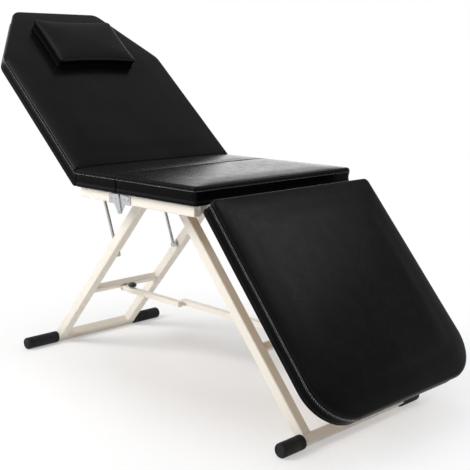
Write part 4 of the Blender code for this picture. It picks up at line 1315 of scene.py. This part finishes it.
class TABLE_OT_stage(bpy.types.Operator):
    """Set up the camera, the floor, the lamps and the world"""

    bl_idname = "massage_table.stage"
    bl_label = "Stage"

    def execute(self, context):
        scene, looks = context.scene, settings().stage
        for name in ("Cube", "Light", "Camera"):
            if name in bpy.data.objects:
                bpy.data.objects.remove(bpy.data.objects[name])
        scene.view_settings.view_transform = "Standard"
        camera = add_object("camera", bpy.data.cameras.new("camera"))
        camera.data.lens, camera.data.sensor_width = looks.lens, SENSOR
        camera.data.clip_start, camera.data.clip_end = 0.05, 100.0
        camera.matrix_world = (
            Matrix.Translation(looks.camera_place)
            @ Matrix.Rotation(looks.camera_turn, 4, "Z")
            @ Matrix.Rotation(looks.camera_tilt, 4, "X")
        )
        scene.camera = camera
        self.lay_floor(looks)
        for name, place, aim, size, power in LAMPS:
            light = bpy.data.lights.new(name, "AREA")
            light.shape, light.size, light.energy = "DISK", size, power
            lamp = add_object(name, light)
            lamp.location = place
            lamp.rotation_euler = (Vector(aim) - Vector(place)).to_track_quat("-Z", "Y").to_euler()
        self.paint_world(scene)
        return {"FINISHED"}

    @staticmethod
    def lay_floor(looks):
        """A matt floor, fading to white where it is seen."""
        cells = 4
        row = cells + 1
        marks = [looks.floor_size * (2 * index / cells - 1) for index in range(row)]
        points = [(x, y, -0.0005) for x in marks for y in marks]
        starts = [x * row + y for x in range(cells) for y in range(cells)]
        faces = [(start, start + row, start + row + 1, start + 1) for start in starts]
        shader = Shader("studio_floor")
        tone = shader.mix(shader.noise(3.0, 3), shaded(looks.floor, 0.985), looks.floor)
        shader.dress(tone, 0.9, Specular_IOR_Level=0.1)
        far = shader.out("ShaderNodeVectorMath", {0: shader.place}, "Value", operation="LENGTH")
        feeds = {"Value": far, "From Min": FADE_START, "From Max": FADE_END}
        fade = shader.out("ShaderNodeMapRange", feeds, interpolation_type="SMOOTHSTEP")
        share = shader.out("ShaderNodeMath", {0: shader.seen(), 1: fade}, operation="MULTIPLY")
        feeds = {0: share, 1: shader.surface.outputs[0], 2: shader.out("ShaderNodeEmission")}
        blend = shader.out("ShaderNodeMixShader", feeds)
        shader.feed(shader.tree.nodes["Material Output"].inputs["Surface"], blend)
        floor = add_object("studio_floor", mesh_from("studio_floor", points, faces), [shader.material])

    @staticmethod
    def paint_world(scene):
        """White at the horizon and dim overhead where it is seen or mirrored, an even light elsewhere."""
        world = scene.world = scene.world or bpy.data.worlds.new("studio")
        world.use_nodes = True
        world.node_tree.nodes.clear()
        nodes = Nodes(world.node_tree)
        split = nodes.add("ShaderNodeSeparateXYZ", {0: nodes.out("ShaderNodeTexCoord", pick="Generated")})
        ramp = nodes.add("ShaderNodeValToRGB", {0: split.outputs["Z"]})
        stops = ramp.color_ramp.elements
        for index, (position, grey) in enumerate(SKY):
            stop = stops[index] if index < 2 else stops.new(position)
            stop.position, stop.color = position, (grey, grey, grey, 1)
        feeds = {0: nodes.seen(), 6: AMBIENT, 7: ramp.outputs[0]}
        light = nodes.out("ShaderNodeMix", feeds, 2, data_type="RGBA")
        back = nodes.out("ShaderNodeBackground", {"Color": light})
        nodes.add("ShaderNodeOutputWorld", {"Surface": back})


# ---- panel


OPERATORS = (
    TABLE_OT_stage,
    TABLE_OT_finishes,
    TABLE_OT_pads,
    TABLE_OT_pillow,
    TABLE_OT_caps,
    TABLE_OT_knob,
    TABLE_OT_plugs,
    TABLE_OT_welds,
    TABLE_OT_fasteners,
    TABLE_OT_pivots,
)


class TABLE_PT_panel(bpy.types.Panel):
    bl_idname = "TABLE_PT_panel"
    bl_label = "Massage table"
    bl_space_type = "VIEW_3D"
    bl_region_type = "UI"
    bl_category = "Massage table"

    def draw(self, context):
        for operator in OPERATORS:
            self.layout.operator(operator.bl_idname)
        for name in TableSettings.__annotations__:
            values = getattr(context.scene.massage_table, name)
            column = self.layout.box().column()
            for label in type(values).__annotations__:
                column.prop(values, label)


CLASSES = (UpholsterySettings, FrameSettings, StageSettings, TableSettings, *OPERATORS, TABLE_PT_panel)


def register():
    for entry in CLASSES:
        bpy.utils.register_class(entry)
    bpy.types.Scene.massage_table = PointerProperty(type=TableSettings)


def unregister():
    del bpy.types.Scene.massage_table
    for entry in reversed(CLASSES):
        bpy.utils.unregister_class(entry)


def main():
    register()
    for operator in OPERATORS:
        group, name = operator.bl_idname.split(".")
        getattr(getattr(bpy.ops, group), name)()


if __name__ == "__main__":
    main()
